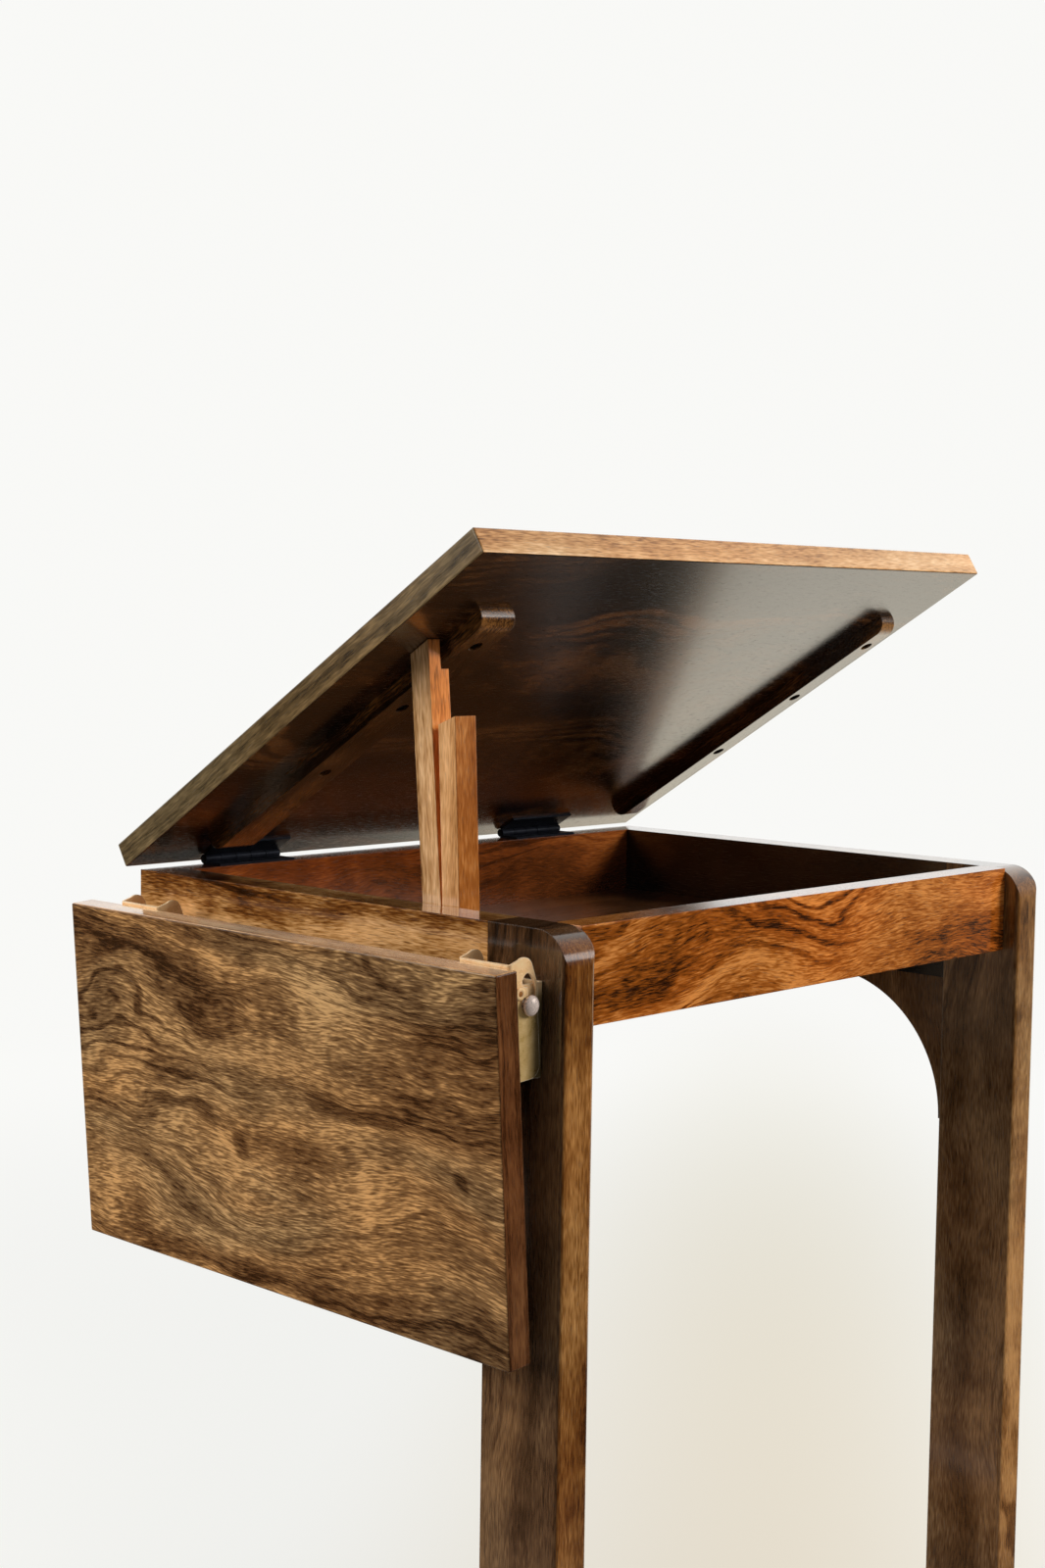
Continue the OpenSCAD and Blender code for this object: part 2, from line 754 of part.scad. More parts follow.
module prop_tall() {
    low_tip = prop_reach(tall_y, tall_z, tall_lean, top_tilt, -tall_w);
    high_tip = prop_reach(tall_y, tall_z, tall_lean, top_tilt, tall_w);
    color(wood_pale) translate([prop_x - tall_t, tall_y, tall_z]) rotate([tall_lean, 0, 0]) difference() {
        along_x(tall_t) prop_outline(tall_y, tall_z, tall_lean, top_tilt, tall_w);
        translate([-over, 0, 0]) along_x(tall_t - tongue_t + over) polygon([
            [-tall_w, low_tip - shoulder_drop],
            [tall_w, high_tip - shoulder_drop],
            [tall_w, high_tip + shoulder_drop],
            [-tall_w, low_tip + shoulder_drop]
        ]);
        rod_x([-over, 0, 0], tall_t + 2 * over, pivot_r + fit_play);
    }
}

module prop_short() {
    color(wood_pale) translate([prop_x - short_t, short_y, short_z]) rotate([short_lean, 0, 0]) difference() {
        along_x(short_t) prop_outline(short_y, short_z, short_lean, low_tilt, short_w);
        rod_x([-over, 0, 0], short_t + 2 * over, pivot_r + fit_play);
    }
}

// Each prop's pivot: its place and the prop's thickness
pivots = [[tall_y, tall_z, tall_t], [short_y, short_z, short_t]];

module prop_pivot_screws() {
    color(black_steel) for (p = pivots)
        translate([prop_x - p[2] - run_gap, p[0], p[1]]) rotate([0, 90, 0])
            screw(p[2] + 2 * run_gap + washer_t + pivot_screw_l, pivot_r, pivot_head_r, pivot_head_h);
}

module prop_washers() {
    color(nickel) for (p = pivots) difference() {
        rod_x([x_in_right - washer_t, p[0], p[1]], washer_t, washer_r);
        rod_x([x_in_right - washer_t - over, p[0], p[1]], washer_t + 2 * over, pivot_r + fit_play);
    }
}

module pivot_holes() {
    for (p = pivots)
        rod_x([x_in_right - over, p[0], p[1]], pivot_screw_l + run_gap + over, pivot_r + fit_play);
}

// The leaf's own frame: origin on the bracket pivots, +X out of the leaf, +Z up the leaf
module on_leaf() {
    translate([pivot[0], 0, pivot[1]]) rotate([0, leaf_lean, 0]) children();
}

// The hanging board, with its long edges softened
module leaf_panel() {
    color(wood_mid) difference() {
        on_leaf() translate([pivot_to_leaf, leaf_front + leaf_l / 2, leaf_rise - leaf_h])
            along_y(leaf_l) round_rect([leaf_t, leaf_h], [arris_r, arris_r, arris_r, arris_r]);
        for (y = bracket_y) on_leaf() for (z = leaf_screw_at)
            rod_x([pivot_to_leaf - over, y, z], bracket_screw_l + run_gap + over, screw_r + fit_play);
    }
}

// A bent-sheet U section in (x, y): the web's outer face at x = 0, the cheeks towards +X
module u_section(w, reach) {
    outer_r = bend_r + sheet_t;
    difference() {
        translate([0, -w / 2]) round_rect([reach, w], [outer_r, 0, 0, outer_r]);
        translate([sheet_t, -w / 2 + sheet_t])
            round_rect([reach, w - 2 * sheet_t], [bend_r, 0, 0, bend_r]);
    }
}

// All that lies outside an outline near the pivot, to trim a channel's cheeks with
module outside() {
    difference() {
        translate([-2 * channel_down, -2 * channel_down]) square(4 * channel_down);
        children();
    }
}

// The frame channel's cheek in (x, z) from the pivot: an ear, a level top edge and a tapering tail
module inner_cheek() {
    tail = inner_reach - pivot_out;
    difference() {
        union() {
            circle(ear_r);
            polygon([
                [-pivot_out, inner_top],
                [0, inner_top],
                [inner_top, 0],
                [tail, -channel_down + foot_r],
                [tail, -channel_down],
                [-pivot_out, -channel_down]
            ]);
        }
        corner_cut([tail, -channel_down], [-1, 1], foot_r);
    }
}

// The channel screwed to the stand; the lock pin slides in a short slot in its cheeks
module frame_channel(i) {
    toward = [cos(lock_dir), sin(lock_dir)];
    color(zinc) translate([pivot[0], bracket_y[i], pivot[1]]) difference() {
        translate([-pivot_out, 0, -channel_down - over])
            linear_extrude(channel_down + ear_r + 2 * over) u_section(inner_w, pivot_out + ear_r + over);
        along_y(bracket_w) outside() inner_cheek();
        along_y(bracket_w) circle(rivet_r + fit_play);
        along_y(bracket_w) tangent_band(
            lock_orbit * toward, lock_r + fit_play,
            (lock_orbit - lock_travel) * toward, lock_r + fit_play
        );
        for (z = frame_screw_at)
            rod_x([-pivot_out - over, 0, z], sheet_t + 2 * over, screw_r + fit_play);
    }
}

// The leaf channel's cheek in (x, z) of the leaf's frame: a strip, a lobe round the pivot and a crest
module outer_cheek() {
    crest = crest_up * [sin(-leaf_lean), cos(leaf_lean)] - crest_back * [cos(leaf_lean), sin(leaf_lean)];
    top_z = leaf_rise + web_rise;
    web = web_face + over;
    shoulder = crest + (crest_r - shoulder_tuck) * [cos(shoulder_dir), sin(shoulder_dir)];
    tangent_band([0, 0], lobe_r, crest, crest_r);
    polygon([crest, shoulder, [web_face, top_z], [web, top_z], [web, 0], [0, 0]]);
    difference() {
        translate([cheek_edge, -channel_down]) square([cheek_reach + over, channel_down]);
        corner_cut([cheek_edge, -channel_down], [1, 1], foot_r);
    }
}

// Directions in the leaf's frame, which leans with the leaf at rest
function leaf_dir(a) = a + leaf_lean;

// The channel screwed to the leaf; its cheeks have the curved slot, the notch and the hook
module leaf_channel(i) {
    rest = leaf_dir(lock_dir);
    level = leaf_dir(level_dir);
    hook = [cos(level), sin(level)];
    color(zinc) on_leaf() translate([0, bracket_y[i], 0]) difference() {
        translate([web_face, 0, -channel_down - over]) mirror([1, 0, 0])
            linear_extrude(2 * channel_down) u_section(bracket_w, pivot_out + web_face);
        along_y(bracket_w + over) outside() outer_cheek();
        along_y(bracket_w + over) circle(rivet_r + fit_play);
        along_y(bracket_w + over) arc_band(lock_orbit, slot_r, level, rest);
        along_y(bracket_w + over)
            rotate(rest) translate([lock_orbit - notch_shift, 0]) circle(notch_r);
        along_y(bracket_w + over) tangent_band(
            lock_orbit * hook, slot_r + hook_flare,
            (lock_orbit - lock_travel) * hook, slot_r - hook_pinch
        );
        for (z = leaf_screw_at)
            rod_x([web_inner - over, 0, z], sheet_t + 2 * over, screw_r + fit_play);
    }
}

// A hollow rivet with a flange outside each cheek
module rivet(i) {
    half = flange_y + rivet_flange_t;
    color(zinc) translate([pivot[0], bracket_y[i], pivot[1]]) difference() {
        union() {
            rod_y([0, -half, 0], 2 * half, rivet_r);
            rod_y([0, -half, 0], rivet_flange_t, rivet_flange_r);
            rod_y([0, flange_y, 0], rivet_flange_t, rivet_flange_r);
        }
        rod_y([0, -half - over, 0], 2 * (half + over), rivet_bore_r);
    }
}

// A domed head standing on the plane z = 0
module dome(r, h) {
    ball = (r * r + h * h) / (2 * h);
    intersection() {
        translate([0, 0, h - ball]) sphere(ball);
        cylinder(h = h, r = r);
    }
}

// The lock pin through both channels, with a domed head at each end
module lock_pin(i) {
    half = bracket_w / 2 + lock_neck;
    place = lock_orbit * [cos(lock_dir), sin(lock_dir)];
    color(nickel) translate([pivot[0] + place[0], bracket_y[i], pivot[1] + place[1]]) {
        rod_y([0, -half, 0], 2 * half, lock_r);
        translate([0, half, 0]) rotate([-90, 0, 0]) dome(lock_head_r, lock_head_h);
        translate([0, -half, 0]) rotate([90, 0, 0]) dome(lock_head_r, lock_head_h);
    }
}

// Centre line of the lock spring in (x, y, z) from the pivot: a foot outside the lock pin, the
// coil round the rivet, and a tail that bears on the frame channel's web
foot_dir = [cos(lock_dir), 0, sin(lock_dir)];
foot_side = [-sin(lock_dir), 0, cos(lock_dir)];
coil_from = lock_dir + 90;
coil_sweep = coil_to - coil_from + 360 * (spring_turns + 1);
coil_count = floor(coil_sweep / 360 * spring_steps);
coil_len = coil_sweep / 360 * spring_pitch;
foot_out = lock_orbit + lock_r + run_gap + spring_wire_r;
tail_in = -pivot_out + sheet_t + spring_wire_r + tail_play;
spring_line = concat(
    [foot_out * foot_dir - coil_r * foot_side - [0, coil_len / 2, 0]],
    [foot_out * foot_dir + coil_r * foot_side - [0, coil_len / 2, 0]],
    [for (k = [0:coil_count]) let (a = coil_from + coil_sweep * k / coil_count)
        [coil_r * cos(a), coil_len * (k / coil_count - 0.5), coil_r * sin(a)]],
    [[tail_in, coil_len / 2, coil_r]]
);

function unit(v) = v / norm(v);
function line_dir(p, i) = unit(p[min(i + 1, len(p) - 1)] - p[max(i - 1, 0)]);
function ring(p, i, r, n) = let (
    t = line_dir(p, i),
    b = unit(cross(t, [0, 1, 0])),
    c = cross(b, t)
) [for (k = [0:n - 1]) p[i] + r * (cos(360 * k / n) * b + sin(360 * k / n) * c)];

// A round wire swept along a line of points
module wire(p, r, n) {
    last = len(p) - 1;
    points = [for (i = [0:last]) each ring(p, i, r, n)];
    sides = [for (i = [0:last - 1], k = [0:n - 1])
        [i * n + k, i * n + (k + 1) % n, (i + 1) * n + (k + 1) % n, (i + 1) * n + k]];
    tris = [for (f = sides) each [[f[0], f[1], f[2]], [f[0], f[2], f[3]]]];
    start = [for (k = [n - 1:-1:0]) k];
    end = [for (k = [0:n - 1]) last * n + k];
    polyhedron(points, concat(tris, [start, end]));
}

module lock_spring(i) {
    color(nickel) translate([pivot[0], bracket_y[i], pivot[1]])
        wire(spring_line, spring_wire_r, spring_sides);
}

module bracket_frame_screws() {
    color(zinc) for (y = bracket_y, z = frame_screw_at)
        translate([x_right + sheet_t, y, pivot[1] + z]) rotate([0, -90, 0])
            screw(sheet_t + bracket_screw_l, screw_r, screw_head_r, screw_head_h);
}

module bracket_pilot_holes() {
    for (y = bracket_y, z = frame_screw_at)
        rod_x(
            [x_right - bracket_screw_l - run_gap, y, pivot[1] + z],
            bracket_screw_l + run_gap + over,
            screw_r + fit_play
        );
}

module bracket_leaf_screws() {
    color(zinc) on_leaf() for (y = bracket_y, z = leaf_screw_at)
        translate([web_inner, y, z]) rotate([0, 90, 0])
            screw(sheet_t + bracket_screw_l, screw_r, screw_head_r, screw_head_h);
}

leg(0);  // leg_left
leg(1);  // leg_right
side_rail(0);  // side_rail_left
side_rail(1);  // side_rail_right
gusset(0, true);  // gusset_top_left
gusset(1, true);  // gusset_top_right
gusset(0, false);  // gusset_foot_left
gusset(1, false);  // gusset_foot_right
cross_rail();
hinge_rail();
stretcher();
runner(0);  // runner_left
runner(1);  // runner_right
tray_floor();
frame_dowels();
glides();
hinge_frame_leaf(0);  // hinge_right_frame_leaf
hinge_top_leaf(0);  // hinge_right_top_leaf
hinge_pin(0);  // hinge_right_pin
hinge_frame_leaf(1);  // hinge_left_frame_leaf
hinge_top_leaf(1);  // hinge_left_top_leaf
hinge_pin(1);  // hinge_left_pin
hinge_rail_screws();
hinge_top_screws();
top_panel();
batten(0);  // batten_wide
batten(1);  // batten_narrow
batten_screws();
prop_tall();
prop_short();
prop_pivot_screws();
prop_washers();
leaf_panel();
frame_channel(0);  // leg_bracket_frame_channel
leaf_channel(0);  // leg_bracket_leaf_channel
rivet(0);  // leg_bracket_rivet
lock_pin(0);  // leg_bracket_lock_pin
lock_spring(0);  // leg_bracket_spring
frame_channel(1);  // rail_bracket_frame_channel
leaf_channel(1);  // rail_bracket_leaf_channel
rivet(1);  // rail_bracket_rivet
lock_pin(1);  // rail_bracket_lock_pin
lock_spring(1);  // rail_bracket_spring
bracket_frame_screws();
bracket_leaf_screws();
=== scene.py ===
# %% [markdown]
# This lesson dresses a small laptop table: a C-shaped stand of lacquered hardwood with a shallow tray, a
# top that stands tilted on two folding props, and a drop leaf on two folding brackets. The solids come
# packed from the CAD side as a fixed frame, so the work here is finishes, fine hardware, light and camera.

# %% Load the frame and note its size
import json

import bmesh
import bpy
import numpy as np
from mathutils import Matrix, Vector


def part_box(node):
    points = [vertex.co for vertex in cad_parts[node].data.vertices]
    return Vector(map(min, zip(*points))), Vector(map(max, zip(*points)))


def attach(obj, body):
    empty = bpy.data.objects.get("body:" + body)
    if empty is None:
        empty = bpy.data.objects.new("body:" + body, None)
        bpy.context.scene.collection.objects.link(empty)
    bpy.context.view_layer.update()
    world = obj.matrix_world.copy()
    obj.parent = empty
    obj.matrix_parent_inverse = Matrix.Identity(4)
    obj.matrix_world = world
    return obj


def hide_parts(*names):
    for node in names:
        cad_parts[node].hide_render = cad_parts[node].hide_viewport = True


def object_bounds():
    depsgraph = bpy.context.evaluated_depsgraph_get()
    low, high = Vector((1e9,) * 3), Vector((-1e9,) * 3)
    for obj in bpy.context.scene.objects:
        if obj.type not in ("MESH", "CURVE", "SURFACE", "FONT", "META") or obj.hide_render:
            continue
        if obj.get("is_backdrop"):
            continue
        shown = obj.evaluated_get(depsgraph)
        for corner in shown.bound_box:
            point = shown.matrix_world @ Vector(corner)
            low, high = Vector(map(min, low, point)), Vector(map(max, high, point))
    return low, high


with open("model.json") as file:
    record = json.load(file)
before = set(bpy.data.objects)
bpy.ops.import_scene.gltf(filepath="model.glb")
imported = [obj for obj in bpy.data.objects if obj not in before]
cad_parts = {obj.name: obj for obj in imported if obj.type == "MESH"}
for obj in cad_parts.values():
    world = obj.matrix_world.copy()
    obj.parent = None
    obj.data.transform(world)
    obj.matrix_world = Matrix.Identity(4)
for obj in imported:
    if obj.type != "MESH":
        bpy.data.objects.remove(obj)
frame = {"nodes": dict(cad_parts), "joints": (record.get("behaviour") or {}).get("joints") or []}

cad_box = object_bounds()
nodes = frame["nodes"]
joint_at = {j["name"]: j.get("pos_m") for j in frame["joints"]}
print("nodes:", len(nodes), "box in mm:", [[round(1000 * v, 1) for v in c] for c in cad_box])

# %% [markdown]
# The picture is upright, 1066 by 1600, taken from the corner between the leaf and the legs, a little above
# the tray. The viewing direction, a small roll and the lens were solved from the straight edges of the real
# table. A camera's axes are written as the columns of its matrix: right, up, and backwards.

# %% Camera
def unit(v):
    """Every row over its own length."""
    return v / np.linalg.norm(v, axis=-1, keepdims=True)


azimuth, dip, roll = np.radians([43.63, 4.38, 0.84])
ahead = -np.array([np.cos(dip) * np.cos(azimuth), np.cos(dip) * np.sin(azimuth), np.sin(dip)])
level_right = unit(np.cross(ahead, [0, 0, 1]))
level_up = np.cross(level_right, ahead)
right = np.cos(roll) * level_right + np.sin(roll) * level_up
up = -np.sin(roll) * level_right + np.cos(roll) * level_up
eye = np.array([1.0652, 0.9673, 0.8376])
focal_px, picture_px, sensor_mm = 2252.8, 1600, 36

camera = bpy.data.objects.new("camera", bpy.data.cameras.new("camera"))
bpy.context.scene.collection.objects.link(camera)
camera.data.lens = sensor_mm * focal_px / picture_px
camera.data.sensor_width = sensor_mm
camera.data.clip_start, camera.data.clip_end = 0.02, 60
pose = np.eye(4)
pose[:3, :3] = np.column_stack([right, up, -ahead])
pose[:3, 3] = eye
camera.matrix_world = Matrix(pose.tolist())
bpy.context.scene.camera = camera
bpy.context.scene.view_settings.view_transform = "Standard"
print("lens:", round(camera.data.lens, 2), "mm, eye:", eye.tolist())

# %% [markdown]
# Every finish below is a sum of patterns. Written as nodes and links that is long and hard to read, so a
# small class, Value, wraps a socket and gives it arithmetic: `1 - mask * 0.4` then builds its own Math
# nodes. Finish holds the nodes of one material and makes any of them through one method, which hands back
# a Made with the node's outputs at hand.

# %% Shader maths
class Value:
    """A number that varies over a surface: a socket, with arithmetic that adds Math nodes."""

    def __init__(self, sheet, socket):
        self.sheet, self.socket = sheet, socket

    def math(self, operation, a, b=None, clamp=False):
        args = {0: a} if b is None else {0: a, 1: b}
        settings = {"operation": operation, "use_clamp": clamp}
        return self.sheet.node("ShaderNodeMath", settings, args).value()

    def __add__(self, b): return self.math("ADD", self, b)
    def __radd__(self, a): return self.math("ADD", a, self)
    def __sub__(self, b): return self.math("SUBTRACT", self, b)
    def __rsub__(self, a): return self.math("SUBTRACT", a, self)
    def __mul__(self, b): return self.math("MULTIPLY", self, b)
    def __rmul__(self, a): return self.math("MULTIPLY", a, self)
    def __truediv__(self, b): return self.math("DIVIDE", self, b)
    def __abs__(self): return self.math("ABSOLUTE", self)
    def clamp(self): return self.math("ADD", self, 0.0, clamp=True)
    def sine(self): return self.math("SINE", self)

    def smooth(self, start, end):
        """0 below start, 1 above end, an S between them."""
        settings = {"interpolation_type": "SMOOTHSTEP"}
        return self.sheet.node("ShaderNodeMapRange", settings, {0: self, 1: start, 2: end}).value()


class Made:
    """A node that was made, with its outputs at hand."""

    def __init__(self, sheet, node):
        self.sheet, self.node = sheet, node

    def out(self, key=0): return self.node.outputs[key]
    def value(self, key=0): return Value(self.sheet, self.out(key))


class Finish:
    """The nodes of one material, or of the world, under construction."""

    def __init__(self, owner):
        self.owner = owner
        owner.use_nodes = True
        self.tree = owner.node_tree
        self.tree.nodes.clear()

    def node(self, kind, settings=None, inputs=None):
        """Makes any node: its settings first, then the values or links of its sockets."""
        n = self.tree.nodes.new(kind)
        for key, setting in (settings or {}).items():
            if key == "stops":
                ramp = n.color_ramp
                while len(ramp.elements) < len(setting):
                    ramp.elements.new(0.5)
                for e, (at, colour) in zip(ramp.elements, setting):
                    e.position, e.color = at, (*colour, 1)
            else:
                setattr(n, key, setting)
        for key, given in (inputs or {}).items():
            given = given.socket if isinstance(given, Value) else given
            if isinstance(given, bpy.types.NodeSocket):
                self.tree.links.new(given, n.inputs[key])
            else:
                n.inputs[key].default_value = given
        return Made(self, n)

    def noise(self, vector, scale, detail, roughness):
        """Smooth noise from 0 to 1, about 0.5 in the middle."""
        inputs = {"Vector": vector, "Scale": scale, "Detail": detail, "Roughness": roughness}
        return self.node("ShaderNodeTexNoise", {"noise_dimensions": "3D"}, inputs).value("Fac")

    def vector(self, x, y, z):
        return self.node("ShaderNodeCombineXYZ", None, {0: x, 1: y, 2: z}).out()

    def mix(self, amount, a, b, blend="MIX"):
        """Colour a where amount is 0, colour b where it is 1; with MULTIPLY, a times b there."""
        inputs = {0: amount, 6: a, 7: b}
        return self.node("ShaderNodeMix", {"data_type": "RGBA", "blend_type": blend}, inputs).out(2)

    def ramp(self, amount, stops):
        return self.node("ShaderNodeValToRGB", {"stops": stops}, {0: amount}).out()

    def close(self, inputs):
        """Ends the material in a Principled shader with these sockets."""
        shader = self.node("ShaderNodeBsdfPrincipled", None, inputs)
        self.node("ShaderNodeOutputMaterial", None, {0: shader.out()})
        return self.owner


print("shader maths ready")

# %% [markdown]
# The table stands in front of a white backdrop, in a room whose other walls are dim. The camera sees
# white all round, but reflections see it only on the backdrop's side: that is why the lacquer mirrors
# white under the top, and keeps its colour on the sides that face the camera. Two soft windows shine in
# the lacquer and the metal about where the lamps stand, one of them with a faint sheen above it. They leave
# no hard white spots, as mirrored lamps would. The Light Path node tells the rays apart, and the direction
# of a ray is the world's own coordinate.

# %% World
def dot_with(sheet, vector, axis):
    return sheet.node("ShaderNodeVectorMath", {"operation": "DOT_PRODUCT"}, {0: vector, 1: axis}).value("Value")


def window(sheet, vector, azimuth, height, inner, outer):
    """1 within inner degrees of a direction, 0 beyond outer degrees: its cosine against the direction,
    run through an S."""
    a, h = np.radians([azimuth, height])
    axis = [np.cos(h) * np.cos(a), np.cos(h) * np.sin(a), np.sin(h)]
    return dot_with(sheet, vector, axis).smooth(np.cos(np.radians(outer)), np.cos(np.radians(inner)))


def ray_kinds(sheet):
    """Two masks: one for the rays that the camera sees along, one for those that a reflection sends out."""
    ray = sheet.node("ShaderNodeLightPath")
    return (ray.value("Is Camera Ray") + ray.value("Is Transmission Ray")).clamp(), ray.value("Is Glossy Ray")


paper_white, window_white, sky = (0.945, 0.945, 0.925, 1), (1.0, 0.985, 0.96, 1), (0.97, 0.98, 1.0, 1)
dim_wall, pale_wall = (0.07, 0.075, 0.085, 1), (0.94, 0.94, 0.92, 1)
sky_strength, sheen_strength = 0.24, 0.16
backdrop_way = unit(np.array([ahead[0], ahead[1], 0.0])).tolist()
room = Finish(bpy.data.worlds.new("room"))
bpy.context.scene.world = room.owner
seen, mirrored = ray_kinds(room)
way = room.node("ShaderNodeTexCoord").out("Generated")
behind = dot_with(room, way, backdrop_way).smooth(0.15, 0.75)
side_window = window(room, way, 139.0, 15.0, 3.0, 10.0)
side_sheen = window(room, way, 140.0, 36.0, 10.0, 34.0)
key_window = window(room, way, -33.0, 24.0, 8.0, 28.0)
windows = (side_window + key_window + side_sheen * sheen_strength).clamp()
wall = room.mix(windows, room.mix(behind, dim_wall, pale_wall), window_white)
walls = room.node("ShaderNodeBackground", None, {0: wall, 1: 1 + side_window * 1.3 + key_window * 0.6})
soft = room.node("ShaderNodeBackground", None, {0: sky, 1: sky_strength})
white = room.node("ShaderNodeBackground", None, {0: paper_white, 1: 1.0})
lit = room.node("ShaderNodeMixShader", None, {0: mirrored, 1: soft.out(), 2: walls.out()})
both = room.node("ShaderNodeMixShader", None, {0: seen, 1: lit.out(), 2: white.out()})
room.node("ShaderNodeOutputWorld", None, {0: both.out()})
print("world: soft light", sky_strength, "and seen as white")

# %% [markdown]
# The floor is pale and matt. Its diffuse part takes the table's shadow and lights the table from below.
# For the camera a glow is added, so that the floor runs into the white room with no line between them,
# with a faint warm painted shadow behind the legs; for reflections the glow is only on the backdrop's side.

# %% Floor
floor_radius, floor_corners = 40, 96
turn = np.linspace(0, 2 * np.pi, floor_corners, endpoint=False)
floor_mesh = bpy.data.meshes.new("floor")
floor_mesh.from_pydata([(floor_radius * np.cos(a), floor_radius * np.sin(a), 0.0) for a in turn], [],
                       [list(range(floor_corners))])
floor = bpy.data.objects.new("floor", floor_mesh)
bpy.context.scene.collection.objects.link(floor)
floor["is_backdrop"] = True

near_grey, card_grey, black = (0.33, 0.34, 0.33, 1), (0.55, 0.55, 0.54, 1), (0.0, 0.0, 0.0, 1)
# The first two tans colour the floor's painted shadow.
shadow_tan, shadow_far_tan, mirrored_tan = (0.23, 0.17, 0.07, 1), (0.78, 0.75, 0.63, 1), (0.62, 0.54, 0.38, 1)
shadow_patch_at, shadow_patch_turn, shadow_patch_half = (-0.54, -0.22, 0), (0, 0, 0.657), (3.2, 0.48, 1)
paper = Finish(bpy.data.materials.new("floor_paper"))
seen, mirrored = ray_kinds(paper)
place = paper.node("ShaderNodeTexCoord").out("Object")
away = paper.node("ShaderNodeVectorMath", {"operation": "LENGTH"}, {0: place}).value("Value")
in_shadow_patch = paper.node("ShaderNodeMapping", {"vector_type": "TEXTURE"},
                      {"Vector": place, "Location": shadow_patch_at, "Rotation": shadow_patch_turn, "Scale": shadow_patch_half})
shadow_patch = paper.node("ShaderNodeVectorMath", {"operation": "LENGTH"}, {0: in_shadow_patch.out()}).value("Value")
# The warm patch in the camera's glow is a painted shadow behind the legs.
warm = (1 - shadow_patch.smooth(0.0, 1.0)) * 0.92
spread, far_off = away.smooth(0.1, 2.85), away.smooth(0.5, 3.0)
seen_floor = paper.mix(warm, paper.mix(spread, near_grey, paper_white), paper.mix(spread, shadow_tan, shadow_far_tan))
glow_colour = paper.mix(mirrored * 0.7, seen_floor, mirrored_tan)
toward = (dot_with(paper, place, backdrop_way) / (away + 0.4)).smooth(0.1, 0.7) * away.smooth(0.9, 1.3)
card_colour = paper.mix((far_off + mirrored * (1 - toward) * 0.9).clamp(), card_grey, black)
glow_strength = seen + mirrored * toward * (1.5 - far_off * 0.5)
glow = paper.node("ShaderNodeEmission", None, {0: glow_colour, 1: glow_strength})
matt = paper.node("ShaderNodeBsdfDiffuse", None, {0: card_colour})
floor_sum = paper.node("ShaderNodeAddShader", None, {0: matt.out(), 1: glow.out()})
paper.node("ShaderNodeOutputMaterial", None, {0: floor_sum.out()})
floor_mesh.materials.append(paper.owner)
print("floor: a disc of", floor_radius, "m radius")

# %% [markdown]
# Two big soft sources, one for each side that faces the camera. The key comes past the leaf from the
# hinge end, so the leaf shades the strip of leg behind it; the second comes over the legs from the right of
# the picture. Neither reaches the underside of the top. Their strength is set so that the leaf looks about
# as bright as its palette is written.

# %% Lamps
table_middle = Vector((0.0, 0.0, 0.65))


def softbox(name, at, size, watts):
    """A square, faintly warm area lamp that faces the table's middle. Reflections see the room's soft
    windows in its place."""
    data = bpy.data.lights.new(name, "AREA")
    data.shape, data.size, data.energy, data.color = "SQUARE", size, watts, (1.0, 0.98, 0.95)
    lamp = bpy.data.objects.new(name, data)
    bpy.context.scene.collection.objects.link(lamp)
    lamp.location = at
    lamp.rotation_euler = (table_middle - Vector(at)).to_track_quat("-Z", "Y").to_euler()
    lamp.visible_glossy = False


softbox("key", (2.15, -1.4, 1.6), 1.5, 66)
softbox("side", (-1.6, 1.92, 1.66), 0.95, 71)
print("lamps: key, side")

# %% [markdown]
# Lacquered hardwood. Its colour is worked out in the board's own directions: u along the grain, v across
# it, w through it. A slow warp bends v, so the growth rings, a sine of v, wander and close into loops; short
# dashes, fine fibres and pores are noise drawn out along u; smoky patches darken it. Their sum goes through
# a ramp of colours, from the darkest twelfth of the real board to its lightest. An image would be simpler,
# but a formula has no seams, turns the corner from face to edge, and suits every board with a new place.
# The clear coat has its own sharp gloss over the wood's softer one.

# %% Lacquered wood
def srgb(r, g, b):
    """A colour read from a screen, 0 to 255, as the linear numbers that shaders use."""
    c = np.array([r, g, b]) / 255
    return tuple(float(v) for v in np.where(c <= 0.04045, c / 12.92, ((c + 0.055) / 1.055) ** 2.4))


def palette(*colours):
    """Five screen colours, placed where 4, 25, 50, 75 and 96 % of the sum lie, a deep and a pale one beyond."""
    linear, places = [srgb(*c) for c in colours], (0.17, 0.37, 0.5, 0.63, 0.86)
    deep, pale = tuple(0.42 * c for c in linear[0]), tuple(1.18 * c for c in linear[4])
    return [(0.0, deep), *zip(places, linear), (1.0, pale)]


def across_axis(grain, face):
    return ({"x", "y", "z"} - {grain, face}).pop()


def board_axes(sheet, grain, face, tilt, shift):
    """Object coordinates turned into u (along the grain), v (across) and w (through the face)."""
    place = sheet.node("ShaderNodeTexCoord").out("Object")
    mapped = sheet.node("ShaderNodeMapping", None, {"Vector": place, "Rotation": tilt, "Location": shift})
    split = sheet.node("ShaderNodeSeparateXYZ", None, {0: mapped.out()})
    return [split.value("xyz".index(axis)) for axis in (grain, across_axis(grain, face), face)]


